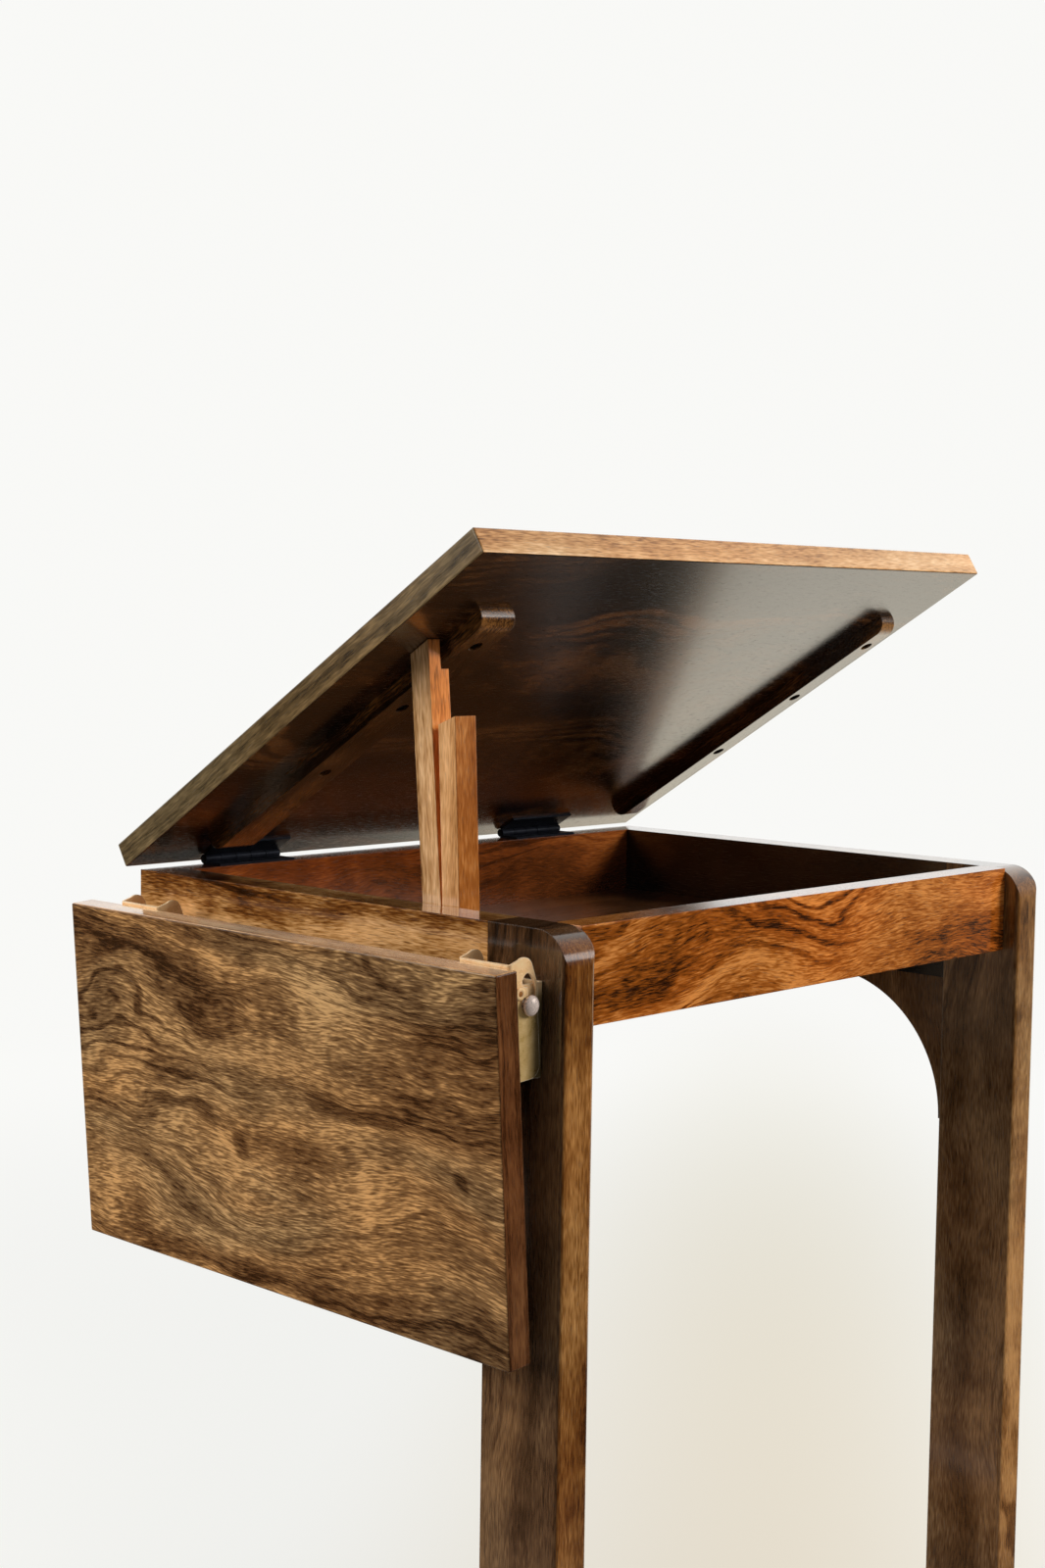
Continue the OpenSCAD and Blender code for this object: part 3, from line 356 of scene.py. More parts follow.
def lacquered_wood(name, grain, face, colours, swirl, band, growth, dash, smoke, tone, tilt=(0, 0, 0),
                   shift=(0, 0, 0), other=None, spots=(), rough=0.16, dash_size=(110.0, 820.0), rings=90.0,
                   gloss=0.11, lines=None):
    """Wood between the colours of a palette, under a clear coat. swirl, in metres, bends the grain; band,
    rings and dash_size are cycles per metre; growth, dash, smoke and lines (the thin growth lines; growth
    if None) are strengths, and tone lightens it all. other is (normal axis, palette): the faces that look
    along that axis take the second palette. spots are (u, v, length, height, amount) in metres: soft ovals
    that lighten or darken the board at a place."""
    s = Finish(bpy.data.materials.new(name))
    u, v, w = board_axes(s, grain, face, tilt, shift)

    def pattern(along, sideways, across, start=0.0, detail=1.0, roughness=0.5, depth=1.0):
        """Noise with so many cycles per metre along the grain, across it, and depth times that through it."""
        deep = w * (across * depth)
        at = s.vector(u * along, sideways * across, deep + start if start else deep)
        return s.noise(at, 1.0, detail, roughness)

    slow = pattern(6.0, v, 13.0) - 0.5
    quick = pattern(22.0, v, 48.0) - 0.5
    bent = v + slow * (swirl * 4.0) + quick * (swirl * 0.9)
    nudged = v + slow * (swirl * 1.5) + quick * (swirl * 0.22)
    bands = pattern(2.2, bent, band, detail=2.0, roughness=0.45, depth=0.5)
    ring = ((bent * rings + bands * 2.5) * (2 * np.pi)).sine().smooth(0.1, 1.0)
    patchy = pattern(4.0, bent, 20.0, 5.0).smooth(0.42, 0.66)
    dashes = pattern(dash_size[0], nudged, dash_size[1], detail=1.5, roughness=0.55)
    figure = pattern(46.0, v, 20.0)
    fibre = pattern(150.0, nudged, 1900.0)
    pore = pattern(120.0, nudged, 2300.0, 7.0, detail=0.0).smooth(0.66, 0.78)
    haze = pattern(11.0, bent, 30.0, 3.0, detail=2.0).smooth(0.50, 0.80)
    warmth = pattern(5.0, bent, 14.0, 9.0).smooth(0.35, 0.65)
    peel = pattern(60.0, v, 90.0)

    lines = growth if lines is None else lines
    mass = (bands - 0.5) * (1.5 * growth) + (dashes - 0.5) * (0.85 * dash) + (figure - 0.5) * 0.4
    mass = mass + (fibre - 0.5) * 0.5 - ring * patchy * (0.30 * lines) - haze * (0.55 * smoke)
    mass = mass + (0.52 + 0.09 * smoke + 0.05 * growth + tone)
    shift_u, shift_v = (shift["xyz".index(axis)] for axis in (grain, across_axis(grain, face)))
    for at_u, at_v, length, height, amount in spots:
        du = (u - (at_u + shift_u)) * (1 / length) + slow * 1.6
        dv = (bent - (at_v + shift_v)) * (1 / height) + quick * 1.2
        mass = mass + (1 - (du * du + dv * dv).smooth(0.0, 2.2)) * amount

    colour = s.ramp(mass.clamp(), palette(*colours))
    if other:
        facing = s.node("ShaderNodeSeparateXYZ", None, {0: s.node("ShaderNodeTexCoord").out("Normal")})
        along = abs(facing.value("xyz".index(other[0]))).smooth(0.6, 0.8)
        colour = s.mix(along, colour, s.ramp(mass.clamp(), palette(*other[1])))
    cool_tint, warm_tint = (0.95, 0.99, 0.99, 1), (1.07, 0.98, 0.84, 1)
    pore_dark = (*(0.3 * c for c in srgb(*colours[0])), 1)
    colour = s.mix(1.0, colour, s.mix(warmth, cool_tint, warm_tint), "MULTIPLY")
    colour = s.mix(pore * 0.5, colour, pore_dark)
    soft_edge = s.node("ShaderNodeBevel", {"samples": 6}, {"Radius": 0.0011}).out()
    relief = peel * 0.6 + fibre * 0.10 - pore * 0.25
    bump = s.node("ShaderNodeBump", None, {"Height": relief, "Strength": 0.15, "Distance": 0.0005,
                                            "Normal": soft_edge}).out()
    return s.close({"Base Color": colour, "Roughness": (fibre - 0.5) * 0.10 + pore * 0.18 + rough,
                    "Normal": bump, "IOR": 1.5, "Coat Weight": 1.0, "Coat Roughness": gloss, "Coat IOR": 1.6})


print("lacquered wood ready")

# %% [markdown]
# The palettes, from the darkest twelfth of each board's colour to its lightest. Most of the table is a dark
# brown wood with golden grain; the cross rail is orange and the props are pale.

# %% Palettes
leaf_tones = ((84, 55, 32), (110, 79, 50), (129, 95, 62), (149, 112, 73), (206, 160, 108))
leg_dark = ((56, 37, 22), (76, 52, 33), (90, 64, 44), (104, 76, 52), (132, 100, 70))
leg_gold = ((66, 31, 8), (104, 60, 24), (124, 77, 35), (146, 97, 49), (188, 134, 78))
rail_orange = ((62, 30, 10), (124, 64, 17), (150, 78, 23), (171, 95, 34), (214, 136, 68))
rail_gold = ((62, 34, 12), (100, 58, 22), (132, 88, 44), (172, 128, 78), (214, 170, 120))
hinge_brown = ((64, 31, 12), (86, 42, 15), (102, 51, 20), (124, 62, 24), (160, 90, 40))
# The underside's brown is partly the wood's own dark colour and partly painted shade, darkened to the shade under
# the top.
under_painted_shade_brown = ((16, 9, 6), (26, 15, 9), (36, 22, 12), (58, 35, 17), (128, 84, 44))
# The pale peach of the up-facing edges is partly their own colour and partly painted light from above.
edge_painted_light_peach = ((140, 96, 52), (190, 136, 84), (212, 160, 106), (228, 176, 122), (248, 204, 156))
side_olive = ((62, 50, 33), (84, 69, 47), (99, 82, 57), (115, 96, 68), (146, 122, 86))
prop_tan = ((148, 102, 60), (181, 134, 87), (197, 148, 101), (210, 162, 114), (232, 186, 140))
prop_orange = ((170, 102, 44), (210, 127, 62), (226, 140, 70), (236, 152, 80), (250, 172, 100))
short_brown = ((122, 66, 20), (148, 86, 34), (163, 98, 43), (178, 112, 54), (206, 142, 84))
leg_shade = ((60, 36, 16), (86, 57, 30), (101, 70, 42), (117, 85, 56), (148, 112, 77))
leg_far_gold = ((52, 30, 12), (95, 61, 30), (115, 78, 42), (134, 94, 55), (172, 130, 84))
# Nearly black is painted shade: read off the far rail's shaded inner face, it covers the whole rail.
painted_shade_black = ((8, 7, 7), (12, 11, 10), (15, 14, 12), (19, 17, 15), (34, 28, 23))
# Batten colours: the wood's own dark brown, darkened further as painted shade under the top.
batten_painted_shade_dark = ((24, 14, 8), (44, 27, 15), (60, 38, 20), (88, 58, 30), (150, 104, 58))
tray_brown = ((62, 38, 20), (84, 53, 30), (98, 63, 36), (114, 75, 44), (142, 98, 62))
rusty = ((72, 40, 19), (98, 60, 35), (113, 72, 43), (128, 84, 51), (152, 106, 70))
print("palettes: 18")

# %% [markdown]
# The stand's boards are the CAD's own solids: their shape is right, so each only takes a wood, with its
# grain along the board. One formula serves them all: a shift moves it to another part of the pattern, so no
# two boards match. The legs' edges are more golden than their broad faces and take a second palette. Soft
# spots lighten or darken a board at set places: the dark top of the near leg is painted shade, and the
# rails get lighter and darker bands at set heights.

# %% The stand's boards
def dress(material, *names):
    for name in names:
        mesh = nodes[name].data
        mesh.materials.clear()
        mesh.materials.append(material)


fine_dashes = (120.0, 1050.0)
rail_low, rail_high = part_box("side_rail_right")
# The spot on the near leg is painted shade that darkens the top of the leg.
dress(lacquered_wood("leg_right_wood", "z", "x", leg_dark, 0.012, 34, 0.9, 0.8, 0.5, 0.0, other=("y", leg_gold),
                     spots=[(rail_high[2] - 0.015, 0.16, 0.05, 0.07, -0.26)]), "leg_right")
dress(lacquered_wood("leg_left_wood", "z", "x", leg_shade, 0.016, 30, 1.0, 0.8, 0.5, 0.0, shift=(0.3, 0.7, 0.2),
                     other=("y", leg_far_gold)), "leg_left")
dress(lacquered_wood("gusset_wood", "z", "x", leg_shade, 0.02, 30, 0.8, 0.7, 0.6, -0.08, shift=(0.1, 0.33, 0.9)),
      "gusset_top_left", "gusset_top_right", "gusset_foot_left", "gusset_foot_right")
dress(lacquered_wood("runner_wood", "y", "x", leg_dark, 0.016, 34, 1.0, 0.8, 0.5, 0.0, shift=(0.5, 0.1, 0.4),
                     other=("z", leg_gold)), "runner_left", "runner_right")
dress(lacquered_wood("side_rail_wood", "y", "x", rail_gold, 0.007, 30, 1.0, 0.9, 0.4, 0.10, shift=(0.2, 0.4, 0.1),
                     spots=[(0.0, rail_low[2] + 0.038, 0.3, 0.009, 0.26),
                            (-0.05, rail_low[2] + 0.018, 0.2, 0.007, -0.3)]), "side_rail_right")
# The far side rail takes the nearly black palette, a painted shade.
dress(lacquered_wood("side_rail_far_painted_shade_wood", "y", "x", painted_shade_black, 0.014, 40, 1.0, 0.8, 0.4, 0.0,
                     shift=(0.7, 0.2, 0.6), other=("z", leg_gold)), "side_rail_left")
dress(lacquered_wood("cross_rail_wood", "x", "y", rail_orange, 0.026, 36, 0.9, 1.3, 0.5, 0.02,
                     shift=(0.4, 0.9, 0.3), rings=80.0, dash_size=fine_dashes, lines=1.5,
                     spots=[(-0.2, rail_low[2] + 0.02, 0.05, 0.03, -0.16),
                            (0.0, rail_low[2] + 0.008, 0.2, 0.006, -0.16)]), "cross_rail")
dress(lacquered_wood("stretcher_wood", "x", "y", rail_orange, 0.018, 36, 1.2, 0.8, 0.6, -0.1,
                     shift=(0.8, 0.3, 0.5)), "stretcher")
dress(lacquered_wood("hinge_rail_wood", "x", "y", hinge_brown, 0.028, 30, 1.0, 0.5, 0.5, 0.0,
                     shift=(0.15, 0.5, 0.75)), "hinge_rail")
dress(lacquered_wood("tray_floor_wood", "x", "z", tray_brown, 0.01, 30, 0.7, 0.5, 0.3, 0.0, rough=0.3),
      "tray_floor")
wooden = [n for n, o in nodes.items() if o.data.materials and "wood" in o.data.materials[0].name]
print("boards dressed:", len(wooden))

# %% [markdown]
# The props and battens are thin, straight-grained strips. The props are paler than the rest; the battens
# are dark, with a few golden streaks, and their palette is darkened further as painted shade under the top.

# %% Props and battens
top_tilt = np.radians(31.8)
prop_lean = np.radians(5)
coarse_dashes = (90.0, 700.0)
dress(lacquered_wood("prop_wood", "z", "x", prop_tan, 0.004, 60, 0.9, 1.4, 0.3, 0.0, tilt=(-prop_lean, 0, 0),
                     other=("y", prop_orange), dash_size=coarse_dashes), "prop_tall")
dress(lacquered_wood("short_prop_wood", "z", "x", prop_tan, 0.004, 60, 0.7, 1.0, 0.2, 0.12, shift=(0.5, 0.2, 0.4),
                     other=("y", short_brown), dash_size=coarse_dashes), "prop_short")
dress(lacquered_wood("batten_wood", "y", "x", batten_painted_shade_dark, 0.010, 50, 1.1, 0.8, 0.8, -0.06,
                     tilt=(-top_tilt, 0, 0), shift=(0.3, 0.1, 0.6)), "batten_wide", "batten_narrow")
print("props and battens dressed")

# %% [markdown]
# The top and the leaf are seen edge-on, and their edges carry the brightest lines of the picture, so each
# gets a true rounded edge. A rounded board is a box whose points are pulled in by the radius and pushed
# out again along their own direction; on the flats that direction is the face's own, so they stay flat.

# %% Rounded boards
def rounded_board(name, low, high, place, radius=0.0012, steps=5):
    """q runs over a cube's six gridded faces. Core c = q held inside the box shrunk by the radius; the
    surface is c + radius * unit(q - c). The grid is dense only inside the radius, so the flats are single
    quads. Each face's material index follows its direction: 0, 1, 2 for x, y, z."""
    low, high = np.array(low, float), np.array(high, float)
    half, centre = (high - low) / 2, (high + low) / 2
    inset = radius * (1 - np.tan(np.linspace(0, np.pi / 4, steps)))
    lines = [np.concatenate([-h + inset[::-1], h - inset]) for h in half]
    points, faces, kinds = [], [], []
    for axis in range(3):
        a, b = (axis + 1) % 3, (axis + 2) % 3
        for side in (-1, 1):
            ga, gb = np.meshgrid(lines[a], lines[b], indexing="ij")
            q = np.zeros(ga.shape + (3,))
            q[..., axis], q[..., a], q[..., b] = side * half[axis], ga, gb
            start = sum(len(p) for p in points)
            points.append(q.reshape(-1, 3))
            n, m = ga.shape
            i, j = np.meshgrid(np.arange(n - 1), np.arange(m - 1), indexing="ij")
            corner = start + i * m + j
            quad = np.stack([corner, corner + m, corner + m + 1, corner + 1], -1).reshape(-1, 4)
            faces.append(quad if side > 0 else quad[:, ::-1])
            kinds.append(np.full(len(quad), axis))
    q, faces, kinds = np.concatenate(points), np.concatenate(faces), np.concatenate(kinds)
    core = np.clip(q, -(half - radius), half - radius)
    out = unit(q - core)
    surface = core + radius * out
    _, first, same = np.unique(np.round(surface, 7), axis=0, return_index=True, return_inverse=True)
    surface, out, faces = surface[first] + centre, out[first], same.ravel()[faces]
    turn = np.array(place.to_3x3())
    surface = surface @ turn.T + np.array(place.translation)
    mesh = bpy.data.meshes.new(name)
    mesh.from_pydata(surface.tolist(), [], faces.tolist())
    mesh.polygons.foreach_set("material_index", kinds.astype(np.int32))
    mesh.polygons.foreach_set("use_smooth", np.ones(len(faces), bool))
    mesh.normals_split_custom_set_from_vertices((out @ turn.T).tolist())
    piece = bpy.data.objects.new(name, mesh)
    bpy.context.scene.collection.objects.link(piece)
    print(name, "faces:", len(faces), "points:", len(surface))
    return piece


# Where each board lies, in metres from its joint's line and along its own tilted edges.
top_behind, top_before, top_under, top_over = -0.0096, 0.3654, 0.0033, 0.0196
leaf_inner, leaf_outer, leaf_under, leaf_over = 0.007, 0.0233, -0.1983, 0.0147
leaf_lean = np.radians(4)

hinge_line = Matrix.Translation(joint_at["top_tilt"]) @ Matrix.Rotation(top_tilt, 4, "X")
top_low, top_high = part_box("top_panel")
top_board = rounded_board("top_board", (top_low[0], top_behind, top_under), (top_high[0], top_before, top_over),
                          hinge_line)
leaf_line = Matrix.Translation(joint_at["leaf_fold"]) @ Matrix.Rotation(leaf_lean, 4, "Y")
leaf_low, leaf_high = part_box("leaf_panel")
leaf_board = rounded_board("leaf_board", (leaf_inner, leaf_low[1], leaf_under),
                           (leaf_outer, leaf_high[1], leaf_over), leaf_line)

# %% [markdown]
# The leaf's face is the richest board of the table: golden and dark clouds round two small knots. The
# clouds are soft ovals at their places on the board, bent by the same warp as the grain. The leaf leans by
# 4 degrees, so the pattern is turned back by 4 degrees about the floor's Y axis.

# %% Woods of the top and the leaf
def stand_for(piece, body, node, slot, *finishes):
    """The piece takes its finishes, rides on the body and stands for the CAD node."""
    for finish in finishes:
        piece.data.materials.append(finish)
    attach(piece, body)
    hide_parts(node)


slope = (-top_tilt, 0, 0)
# The top's faces take that darkened brown, partly painted shade.
top_face = lacquered_wood("top_face_wood", "x", "z", under_painted_shade_brown, 0.020, 22, 0.9, 0.7, 0.6, 0.0, tilt=slope,
                          shift=(0.2, 0.6, 0.1), gloss=0.24)
top_side = lacquered_wood("top_side_edge_wood", "y", "x", side_olive, 0.006, 90, 0.8, 0.8, 0.3, 0.0, tilt=slope,
                          shift=(0.9, 0.2, 0.4))
# The top's end edge takes the pale peach, partly painted light.
top_end = lacquered_wood("top_end_edge_wood", "x", "y", edge_painted_light_peach, 0.006, 90, 0.7, 1.1, 0.3, 0.0, tilt=slope,
                         shift=(0.4, 0.8, 0.7))
stand_for(top_board, "top", "top_panel", "walnut", top_side, top_end, top_face)

hang = (0, -leaf_lean, 0)
hung = Matrix.Rotation(-leaf_lean, 3, "Y") @ Vector(joint_at["leaf_fold"])
cloud_strength = 0.8
clouds = [(-0.159, -0.008, 0.03, 0.016, 0.14), (0.03, -0.002, 0.075, 0.014, 0.12),
          (-0.065, -0.122, 0.055, 0.017, 0.19), (-0.168, -0.133, 0.014, 0.012, 0.14),
          (-0.085, -0.063, 0.022, 0.016, 0.1), (0.131, -0.094, 0.022, 0.012, 0.16),
          (0.146, -0.177, 0.042, 0.014, 0.15), (0.067, -0.02, 0.035, 0.01, 0.11),
          (-0.041, -0.165, 0.013, 0.014, 0.1), (-0.016, -0.002, 0.01, 0.008, -0.32),
          (-0.106, -0.029, 0.08, 0.0035, -0.32), (-0.096, -0.077, 0.02, 0.01, -0.32),
          (-0.083, -0.103, 0.032, 0.006, -0.38), (0.07, -0.071, 0.038, 0.007, -0.39),
          (0.119, -0.047, 0.012, 0.004, -0.39), (0.12, -0.057, 0.007, 0.005, -0.38),
          (0.023, -0.108, 0.018, 0.013, -0.22), (-0.095, -0.155, 0.085, 0.0035, -0.29),
          (0.161, -0.012, 0.03, 0.014, -0.29), (0.154, -0.1, 0.005, 0.005, -0.46),
          (-0.03, -0.109, 0.006, 0.006, -0.42), (-0.15, -0.19, 0.05, 0.008, -0.24),
          (0.03, -0.192, 0.08, 0.006, -0.18), (-0.02, -0.185, 0.3, 0.022, -0.12),
          (0.16, -0.1, 0.06, 0.09, -0.1), (-0.17, -0.03, 0.05, 0.04, -0.1)]
clouds = [(y, z + hung.z, length, height, amount * cloud_strength) for y, z, length, height, amount in clouds]
leaf_face = lacquered_wood("leaf_face_wood", "y", "x", leaf_tones, 0.028, 30, 0.72, 1.6, 0.6, -0.03, tilt=hang,
                           spots=clouds, rings=95.0, dash_size=fine_dashes, lines=1.15)
leaf_end = lacquered_wood("leaf_end_wood", "z", "y", rusty, 0.004, 60, 0.7, 0.6, 0.3, 0.0, tilt=hang)
# The leaf's long edges take the pale peach, partly painted light.
leaf_long = lacquered_wood("leaf_long_edge_wood", "y", "z", edge_painted_light_peach, 0.006, 60, 0.9, 0.8, 0.3, -0.06, tilt=hang)
stand_for(leaf_board, "leaf", "leaf_panel", "walnut", leaf_face, leaf_end, leaf_long)
print("top and leaf dressed")

# %% [markdown]
# The hardware is small but catches the eye: yellow zinc on the bent channels, bright nickel on the lock
# pins' heads, blue-black hinges. Each metal's tone and roughness wander a little, as plating does. Fully
# metallic channels would show only the dim room, so the zinc is mostly a diffuse colour under a gloss. On
# the zinc a painted shade darkens the part towards the leg, and a painted highlight lightens its edges.

# %% Metals
def plated(name, colour, shade, rough, spread, streak=(60.0, 60.0, 60.0), metallic=1.0, below=None, inner=None,
           edge_glint=None):
    """Metal between two tones, with a clouded roughness and fine brush marks. below is (height, tone): the
    metal turns to that tone under the height, and a painted shade darkens it inwards of the X place given as
    inner. The last argument is the tone of a painted highlight on the edges, found where the rounded normal
    of the Bevel node leaves the face's own."""
    s = Finish(bpy.data.materials.new(name))
    place = s.node("ShaderNodeTexCoord").out("Object")
    split = s.node("ShaderNodeSeparateXYZ", None, {0: place})
    cloud = s.noise(place, 160.0, 3.0, 0.6)
    marks = s.noise(s.vector(*(split.value(i) * streak[i] for i in range(3))), 10.0, 3.0, 0.7)
    tone = ((cloud - 0.5) * 1.2 + (marks - 0.5) * 0.8 + 0.5).clamp()
    soft_edge = s.node("ShaderNodeBevel", {"samples": 4}, {"Radius": 0.0003}).out()
    bump = s.node("ShaderNodeBump", None, {"Height": marks, "Strength": 0.12, "Distance": 0.0001,
                                            "Normal": soft_edge}).out()
    painted = s.mix(tone, (*shade, 1), (*colour, 1))
    if below:
        lower = 1 - split.value(2).smooth(below[0] - 0.008, below[0] + 0.004)
        painted = s.mix(lower * (0.95 - tone * 0.5), painted, (*below[1], 1))
        # Painted shade: the lower part darkens towards the leg.
        painted_shade_inward = lower * (1 - split.value(0).smooth(inner - 0.006, inner + 0.006))
        painted = s.mix(painted_shade_inward * 0.85, painted, (*(0.1 * c for c in below[1]), 1))
    # Painted highlight: the edges turn to a bright tone.
    if edge_glint:
        rounded = s.node("ShaderNodeBevel", {"samples": 4}, {"Radius": 0.0007}).out()
        flat = s.node("ShaderNodeNewGeometry").out("Normal")
        edge = 1 - dot_with(s, rounded, flat).smooth(0.90, 0.995)
        painted = s.mix(edge * 0.8, painted, (*edge_glint, 1))
    return s.close({"Base Color": painted,
                    "Roughness": (cloud - 0.5) * spread * 2 + rough, "Metallic": metallic, "Normal": bump})


pivot = np.array(joint_at["leaf_fold"])
# The zinc's lower tone is duller; inwards of inner it takes a painted shade, and its edges a painted highlight.
zinc = plated("yellow_zinc", srgb(255, 226, 176), srgb(244, 188, 128), 0.30, 0.12, (40.0, 60.0, 300.0), 0.12,
              below=(pivot[2], srgb(164, 138, 76)), inner=pivot[0] - 0.010, edge_glint=srgb(255, 244, 222))
# The nickel's warm, pinkish tint is partly a painted reflection of the orange wood round it.
nickel = plated("nickel", srgb(255, 238, 226), srgb(232, 206, 194), 0.26, 0.08, metallic=0.45)
wire_steel = plated("wire_steel", srgb(206, 204, 198), srgb(160, 158, 152), 0.22, 0.06)
hinge_black = plated("hinge_black", srgb(52, 56, 66), srgb(24, 26, 32), 0.34, 0.10, metallic=0.7)
dress(zinc, "leg_bracket_frame_channel", "leg_bracket_leaf_channel", "rail_bracket_frame_channel",
      "rail_bracket_leaf_channel", "bracket_frame_screws", "bracket_leaf_screws")
dress(nickel, "prop_washers")
dress(hinge_black, "hinge_right_frame_leaf", "hinge_right_top_leaf", "hinge_right_pin", "hinge_left_frame_leaf",
      "hinge_left_top_leaf", "hinge_left_pin", "hinge_rail_screws", "hinge_top_screws", "batten_screws",
      "prop_pivot_screws")
print("metals: yellow_zinc, nickel, wire_steel, hinge_black")

# %% [markdown]
# Round hardware is a profile turned about an axis: every point of the profile keeps its place along the
# axis and its distance from it. The lock pin is a shank with two low domes; the rivet is a tube whose ends
# are rolled outwards.

# %% Turned pieces
def ring_faces(rings, around, closed=False):
    """Quads between neighbouring rings of points; a closed row of rings joins its last to its first too."""
    i = np.arange(rings if closed else rings - 1)[:, None]
    k = np.arange(around)[None, :]
    after, beside = (i + 1) % rings, (k + 1) % around
    quad = np.stack([i * around + k, i * around + beside, after * around + beside, after * around + k], -1)
    return quad.reshape(-1, 4)


def finished(name, points, faces):
    """Makes the piece, merges the doubles at its poles, turns its faces outwards and smooths its shading."""
    mesh = bpy.data.meshes.new(name)
    mesh.from_pydata(points.tolist(), [], faces.tolist())
    work = bmesh.new()
    work.from_mesh(mesh)
    bmesh.ops.remove_doubles(work, verts=work.verts, dist=1e-7)
    bmesh.ops.recalc_face_normals(work, faces=work.faces)
    work.to_mesh(mesh)
    work.free()
    mesh.polygons.foreach_set("use_smooth", np.ones(len(mesh.polygons), bool))
    mesh.set_sharp_from_angle(angle=np.radians(38))
    piece = bpy.data.objects.new(name, mesh)
    bpy.context.scene.collection.objects.link(piece)
    return piece


def turned(name, profile, centre, around=48, closed=False):
    """Surface(t, a) = centre + along(t) * y + radius(t) * (x sin a + z cos a). The profile is rows of
    (along, radius); where the radius is 0 the ring is one point, and a closed profile is a tube."""
    profile = np.array(profile, float)
    angle = np.linspace(0, 2 * np.pi, around, endpoint=False)
    radius, along = profile[:, 1:2], np.repeat(profile[:, :1], around, 1)
    points = np.stack([radius * np.sin(angle), along, radius * np.cos(angle)], -1).reshape(-1, 3) + centre
    return finished(name, points, ring_faces(len(profile), around, closed))


bracket_y = {key: float(np.mean([c[1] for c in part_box(f"{key}_bracket_rivet")])) for key in ("leg", "rail")}
lock_degrees, lock_radius, channel_half = 224, 0.0096, 0.019
lock_angle = np.radians(lock_degrees)
to_lock = np.array([np.cos(lock_angle), 0, np.sin(lock_angle)])

pin_r, head_r, head_h, head_rim = 0.0025, 0.0056, 0.003, 0.0003
head_at = channel_half + 0.0017
right_end = [(head_at, pin_r), (head_at, head_r - head_rim), (head_at + head_rim, head_r)]
right_end += [(head_at + head_rim + (head_h - head_rim) * np.sin(a), head_r * np.cos(a))
              for a in np.linspace(0, np.pi / 2, 12)]
pin_profile = [(-x, r) for x, r in right_end[::-1]] + right_end

hole_r, bore_r, lip_half, lip_middle, lip_reach = 0.0025, 0.0015, 0.00045, 0.00245, 0.00095
flange = channel_half + 0.0004
rolled = [(flange + lip_half + lip_half * np.sin(a), lip_middle + lip_reach * np.cos(a))
          for a in np.linspace(-np.pi / 2, np.pi / 2, 9)]
tube = [(flange, hole_r)] + rolled + [(flange + 0.0007, 0.0017), (flange + 0.0003, bore_r)]
rivet_profile = tube + [(-x, r) for x, r in tube[::-1]]

for key, y in bracket_y.items():
    pin = turned(f"{key}_lock_pin_turned", pin_profile, pivot + lock_radius * to_lock + [0, y, 0])
    stand_for(pin, f"{key}_lock", f"{key}_bracket_lock_pin", "nickel", nickel)
    rivet = turned(f"{key}_rivet_turned", rivet_profile, pivot + [0, y, 0], closed=True)
    stand_for(rivet, "stand", f"{key}_bracket_rivet", "zinc", zinc)
print("turned: lock pins and rivets")

# %% [markdown]
# The hairpin spring is round wire on a path: a short foot outside the lock pin, turns round the rivet, and
# a tail that bears on the channel's back. A tube along a path needs a frame at each point: here the
# sideways direction is built from the tangent and the rivet's axis, so the tube never twists.

# %% Lock springs
def wire(name, path, radius, around=12):
    """Surface(t, a) = path(t) + radius * (cos a * side(t) + sin a * lift(t)), capped by a half ball at
    each end, where the radius falls as a quarter circle."""
    step = unit(np.gradient(path, axis=0))
    side = unit(np.cross(step, [0, 1, 0]))
    lift = np.cross(side, step)
    cap = np.linspace(0, np.pi / 2, 5)
    start = [(path[0] - step[0] * radius * np.cos(c), radius * np.sin(c), 0) for c in cap[:-1]]
    end = [(path[-1] + step[-1] * radius * np.sin(c), radius * np.cos(c), -1) for c in cap[1:]]
    rows = start + [(p, radius, i) for i, p in enumerate(path)] + end
    centre = np.array([r[0] for r in rows])
    size = np.array([r[1] for r in rows])[:, None, None]
    index = np.array([r[2] for r in rows])
    angle = np.linspace(0, 2 * np.pi, around, endpoint=False)[None, :, None]
    points = centre[:, None] + size * (np.cos(angle) * side[index][:, None] + np.sin(angle) * lift[index][:, None])
    return finished(name, points.reshape(-1, 3), ring_faces(len(rows), around))


def straight(a, b, count=8):
    return a + (b - a) * np.linspace(0, 1, count)[:, None]


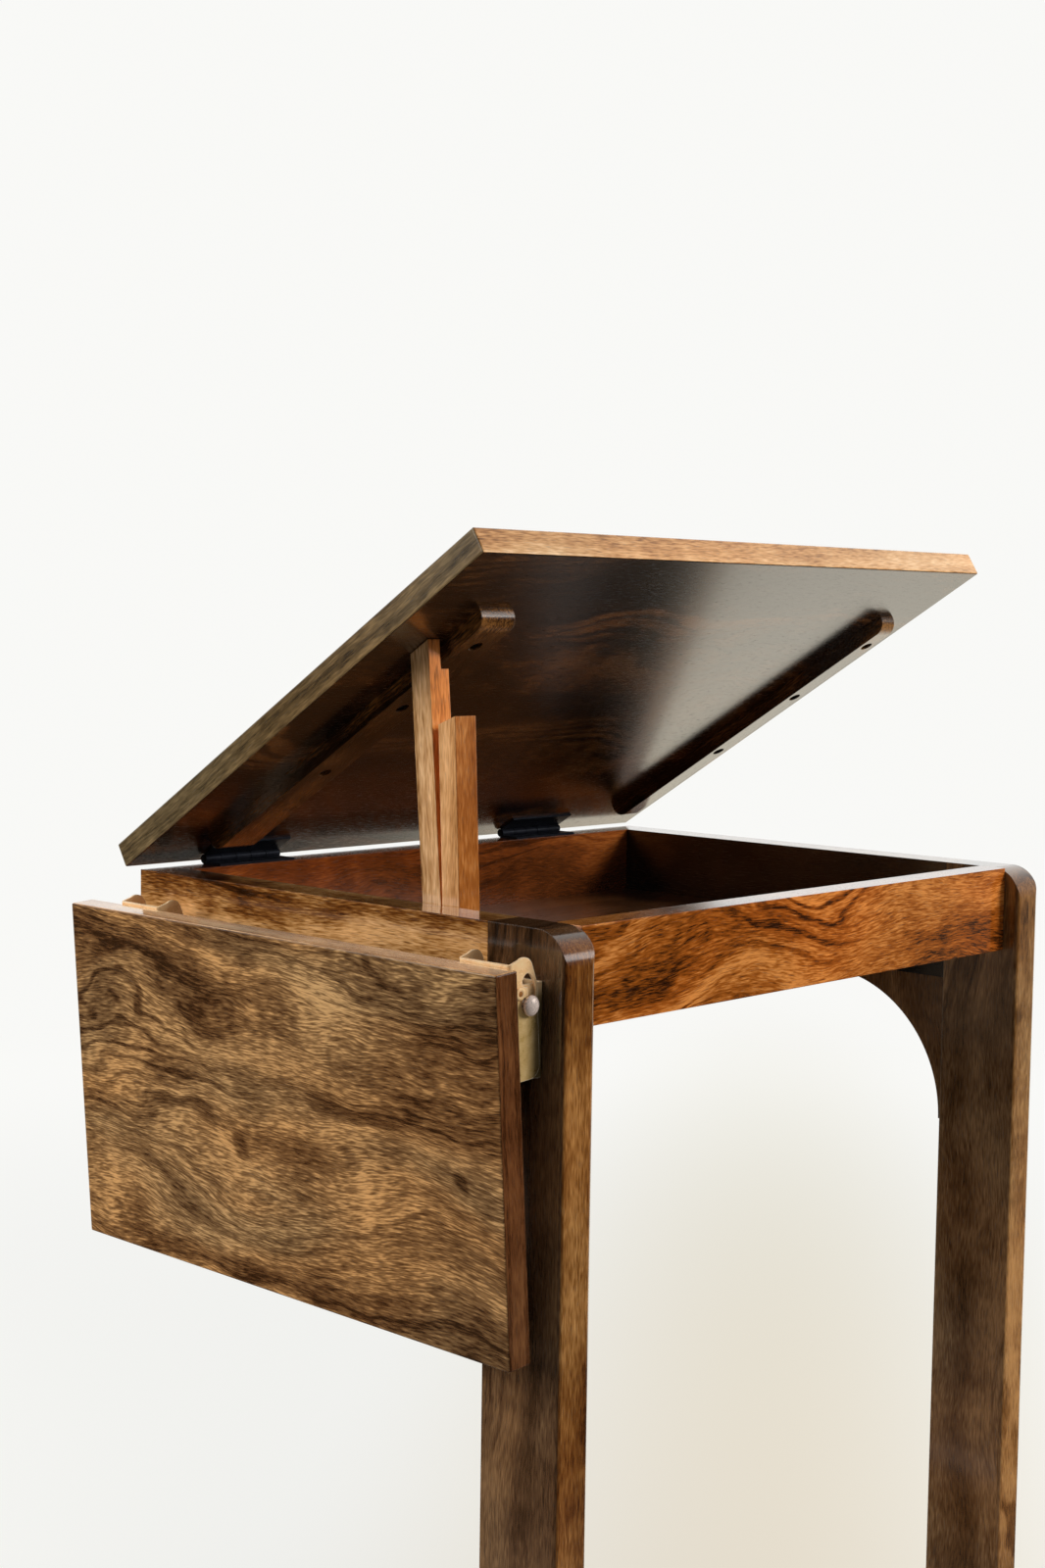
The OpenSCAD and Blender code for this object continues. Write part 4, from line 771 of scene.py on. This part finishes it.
wire_r, coil_r, coil_pitch, whole_turns = 0.0005, 0.0034, 0.0015, 3
channel_back, sheet, foot_gap, tail_gap = -0.0207, 0.0015, 0.0004, 0.0001
first_degrees, last_degrees = lock_degrees + 90, 450
side_dir = np.array([-np.sin(lock_angle), 0, np.cos(lock_angle)])
sweep = np.radians(last_degrees - first_degrees) + 2 * np.pi * whole_turns
rise = sweep / (2 * np.pi) * coil_pitch
foot = lock_radius + pin_r + foot_gap + wire_r
t = np.linspace(0, 1, 110)[:, None]
coil_angle = np.radians(first_degrees) + sweep * t
coil = np.hstack([coil_r * np.cos(coil_angle), rise * (t - 0.5), coil_r * np.sin(coil_angle)])
leg_in = foot * to_lock - coil_r * side_dir - [0, rise / 2, 0]
bend = foot * to_lock + coil_r * side_dir - [0, rise / 2, 0]
tail = np.array([channel_back + sheet + wire_r + tail_gap, rise / 2, coil_r])
spring_path = np.vstack([straight(leg_in, bend)[:-1], straight(bend, coil[0])[:-1], coil,
                         straight(coil[-1], tail)[1:]])
for key, y in bracket_y.items():
    spring = wire(f"{key}_spring_wire", spring_path + pivot + [0, y, 0], wire_r)
    stand_for(spring, "stand", f"{key}_bracket_spring", "spring_steel", wire_steel)
print("springs: path of", len(spring_path), "points")

# %% [markdown]
# What is left is hidden or small: the dowels inside the joints, and the dark glides under the feet. The
# dowels take the wood formula with a pale palette; the glides are matt nylon, where one fine noise is
# enough for colour, roughness and relief.

# %% Dowels and glides
beech = lacquered_wood("dowel_beech", "x", "z", prop_tan, 0.002, 120, 0.5, 0.5, 0.2, 0.1, rough=0.5)
dress(beech, "frame_dowels")
nylon = Finish(bpy.data.materials.new("glide_nylon"))
specks = nylon.noise(nylon.node("ShaderNodeTexCoord").out("Object"), 900.0, 3.0, 0.6)
speck_bump = nylon.node("ShaderNodeBump", None, {"Height": specks, "Strength": 0.3, "Distance": 0.0002}).out()
dress(nylon.close({"Base Color": nylon.mix(specks, (0.012, 0.011, 0.010, 1), (0.035, 0.032, 0.030, 1)),
                   "Roughness": specks * 0.2 + 0.45, "Normal": speck_bump}), "glides")
undressed = [n for n, o in nodes.items() if not o.hide_render and not any(m and m.users for m in o.data.materials)]
print("nodes without a finish:", undressed)

# %% [markdown]
# Last, the box of what is shown is set beside the CAD's box: dressing must not change the table's size.

# %% Size and finish
shown_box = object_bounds()
change = max(abs(a - b) for c, d in zip(cad_box, shown_box) for a, b in zip(c, d))
print("largest change in mm:", round(1000 * change, 3))
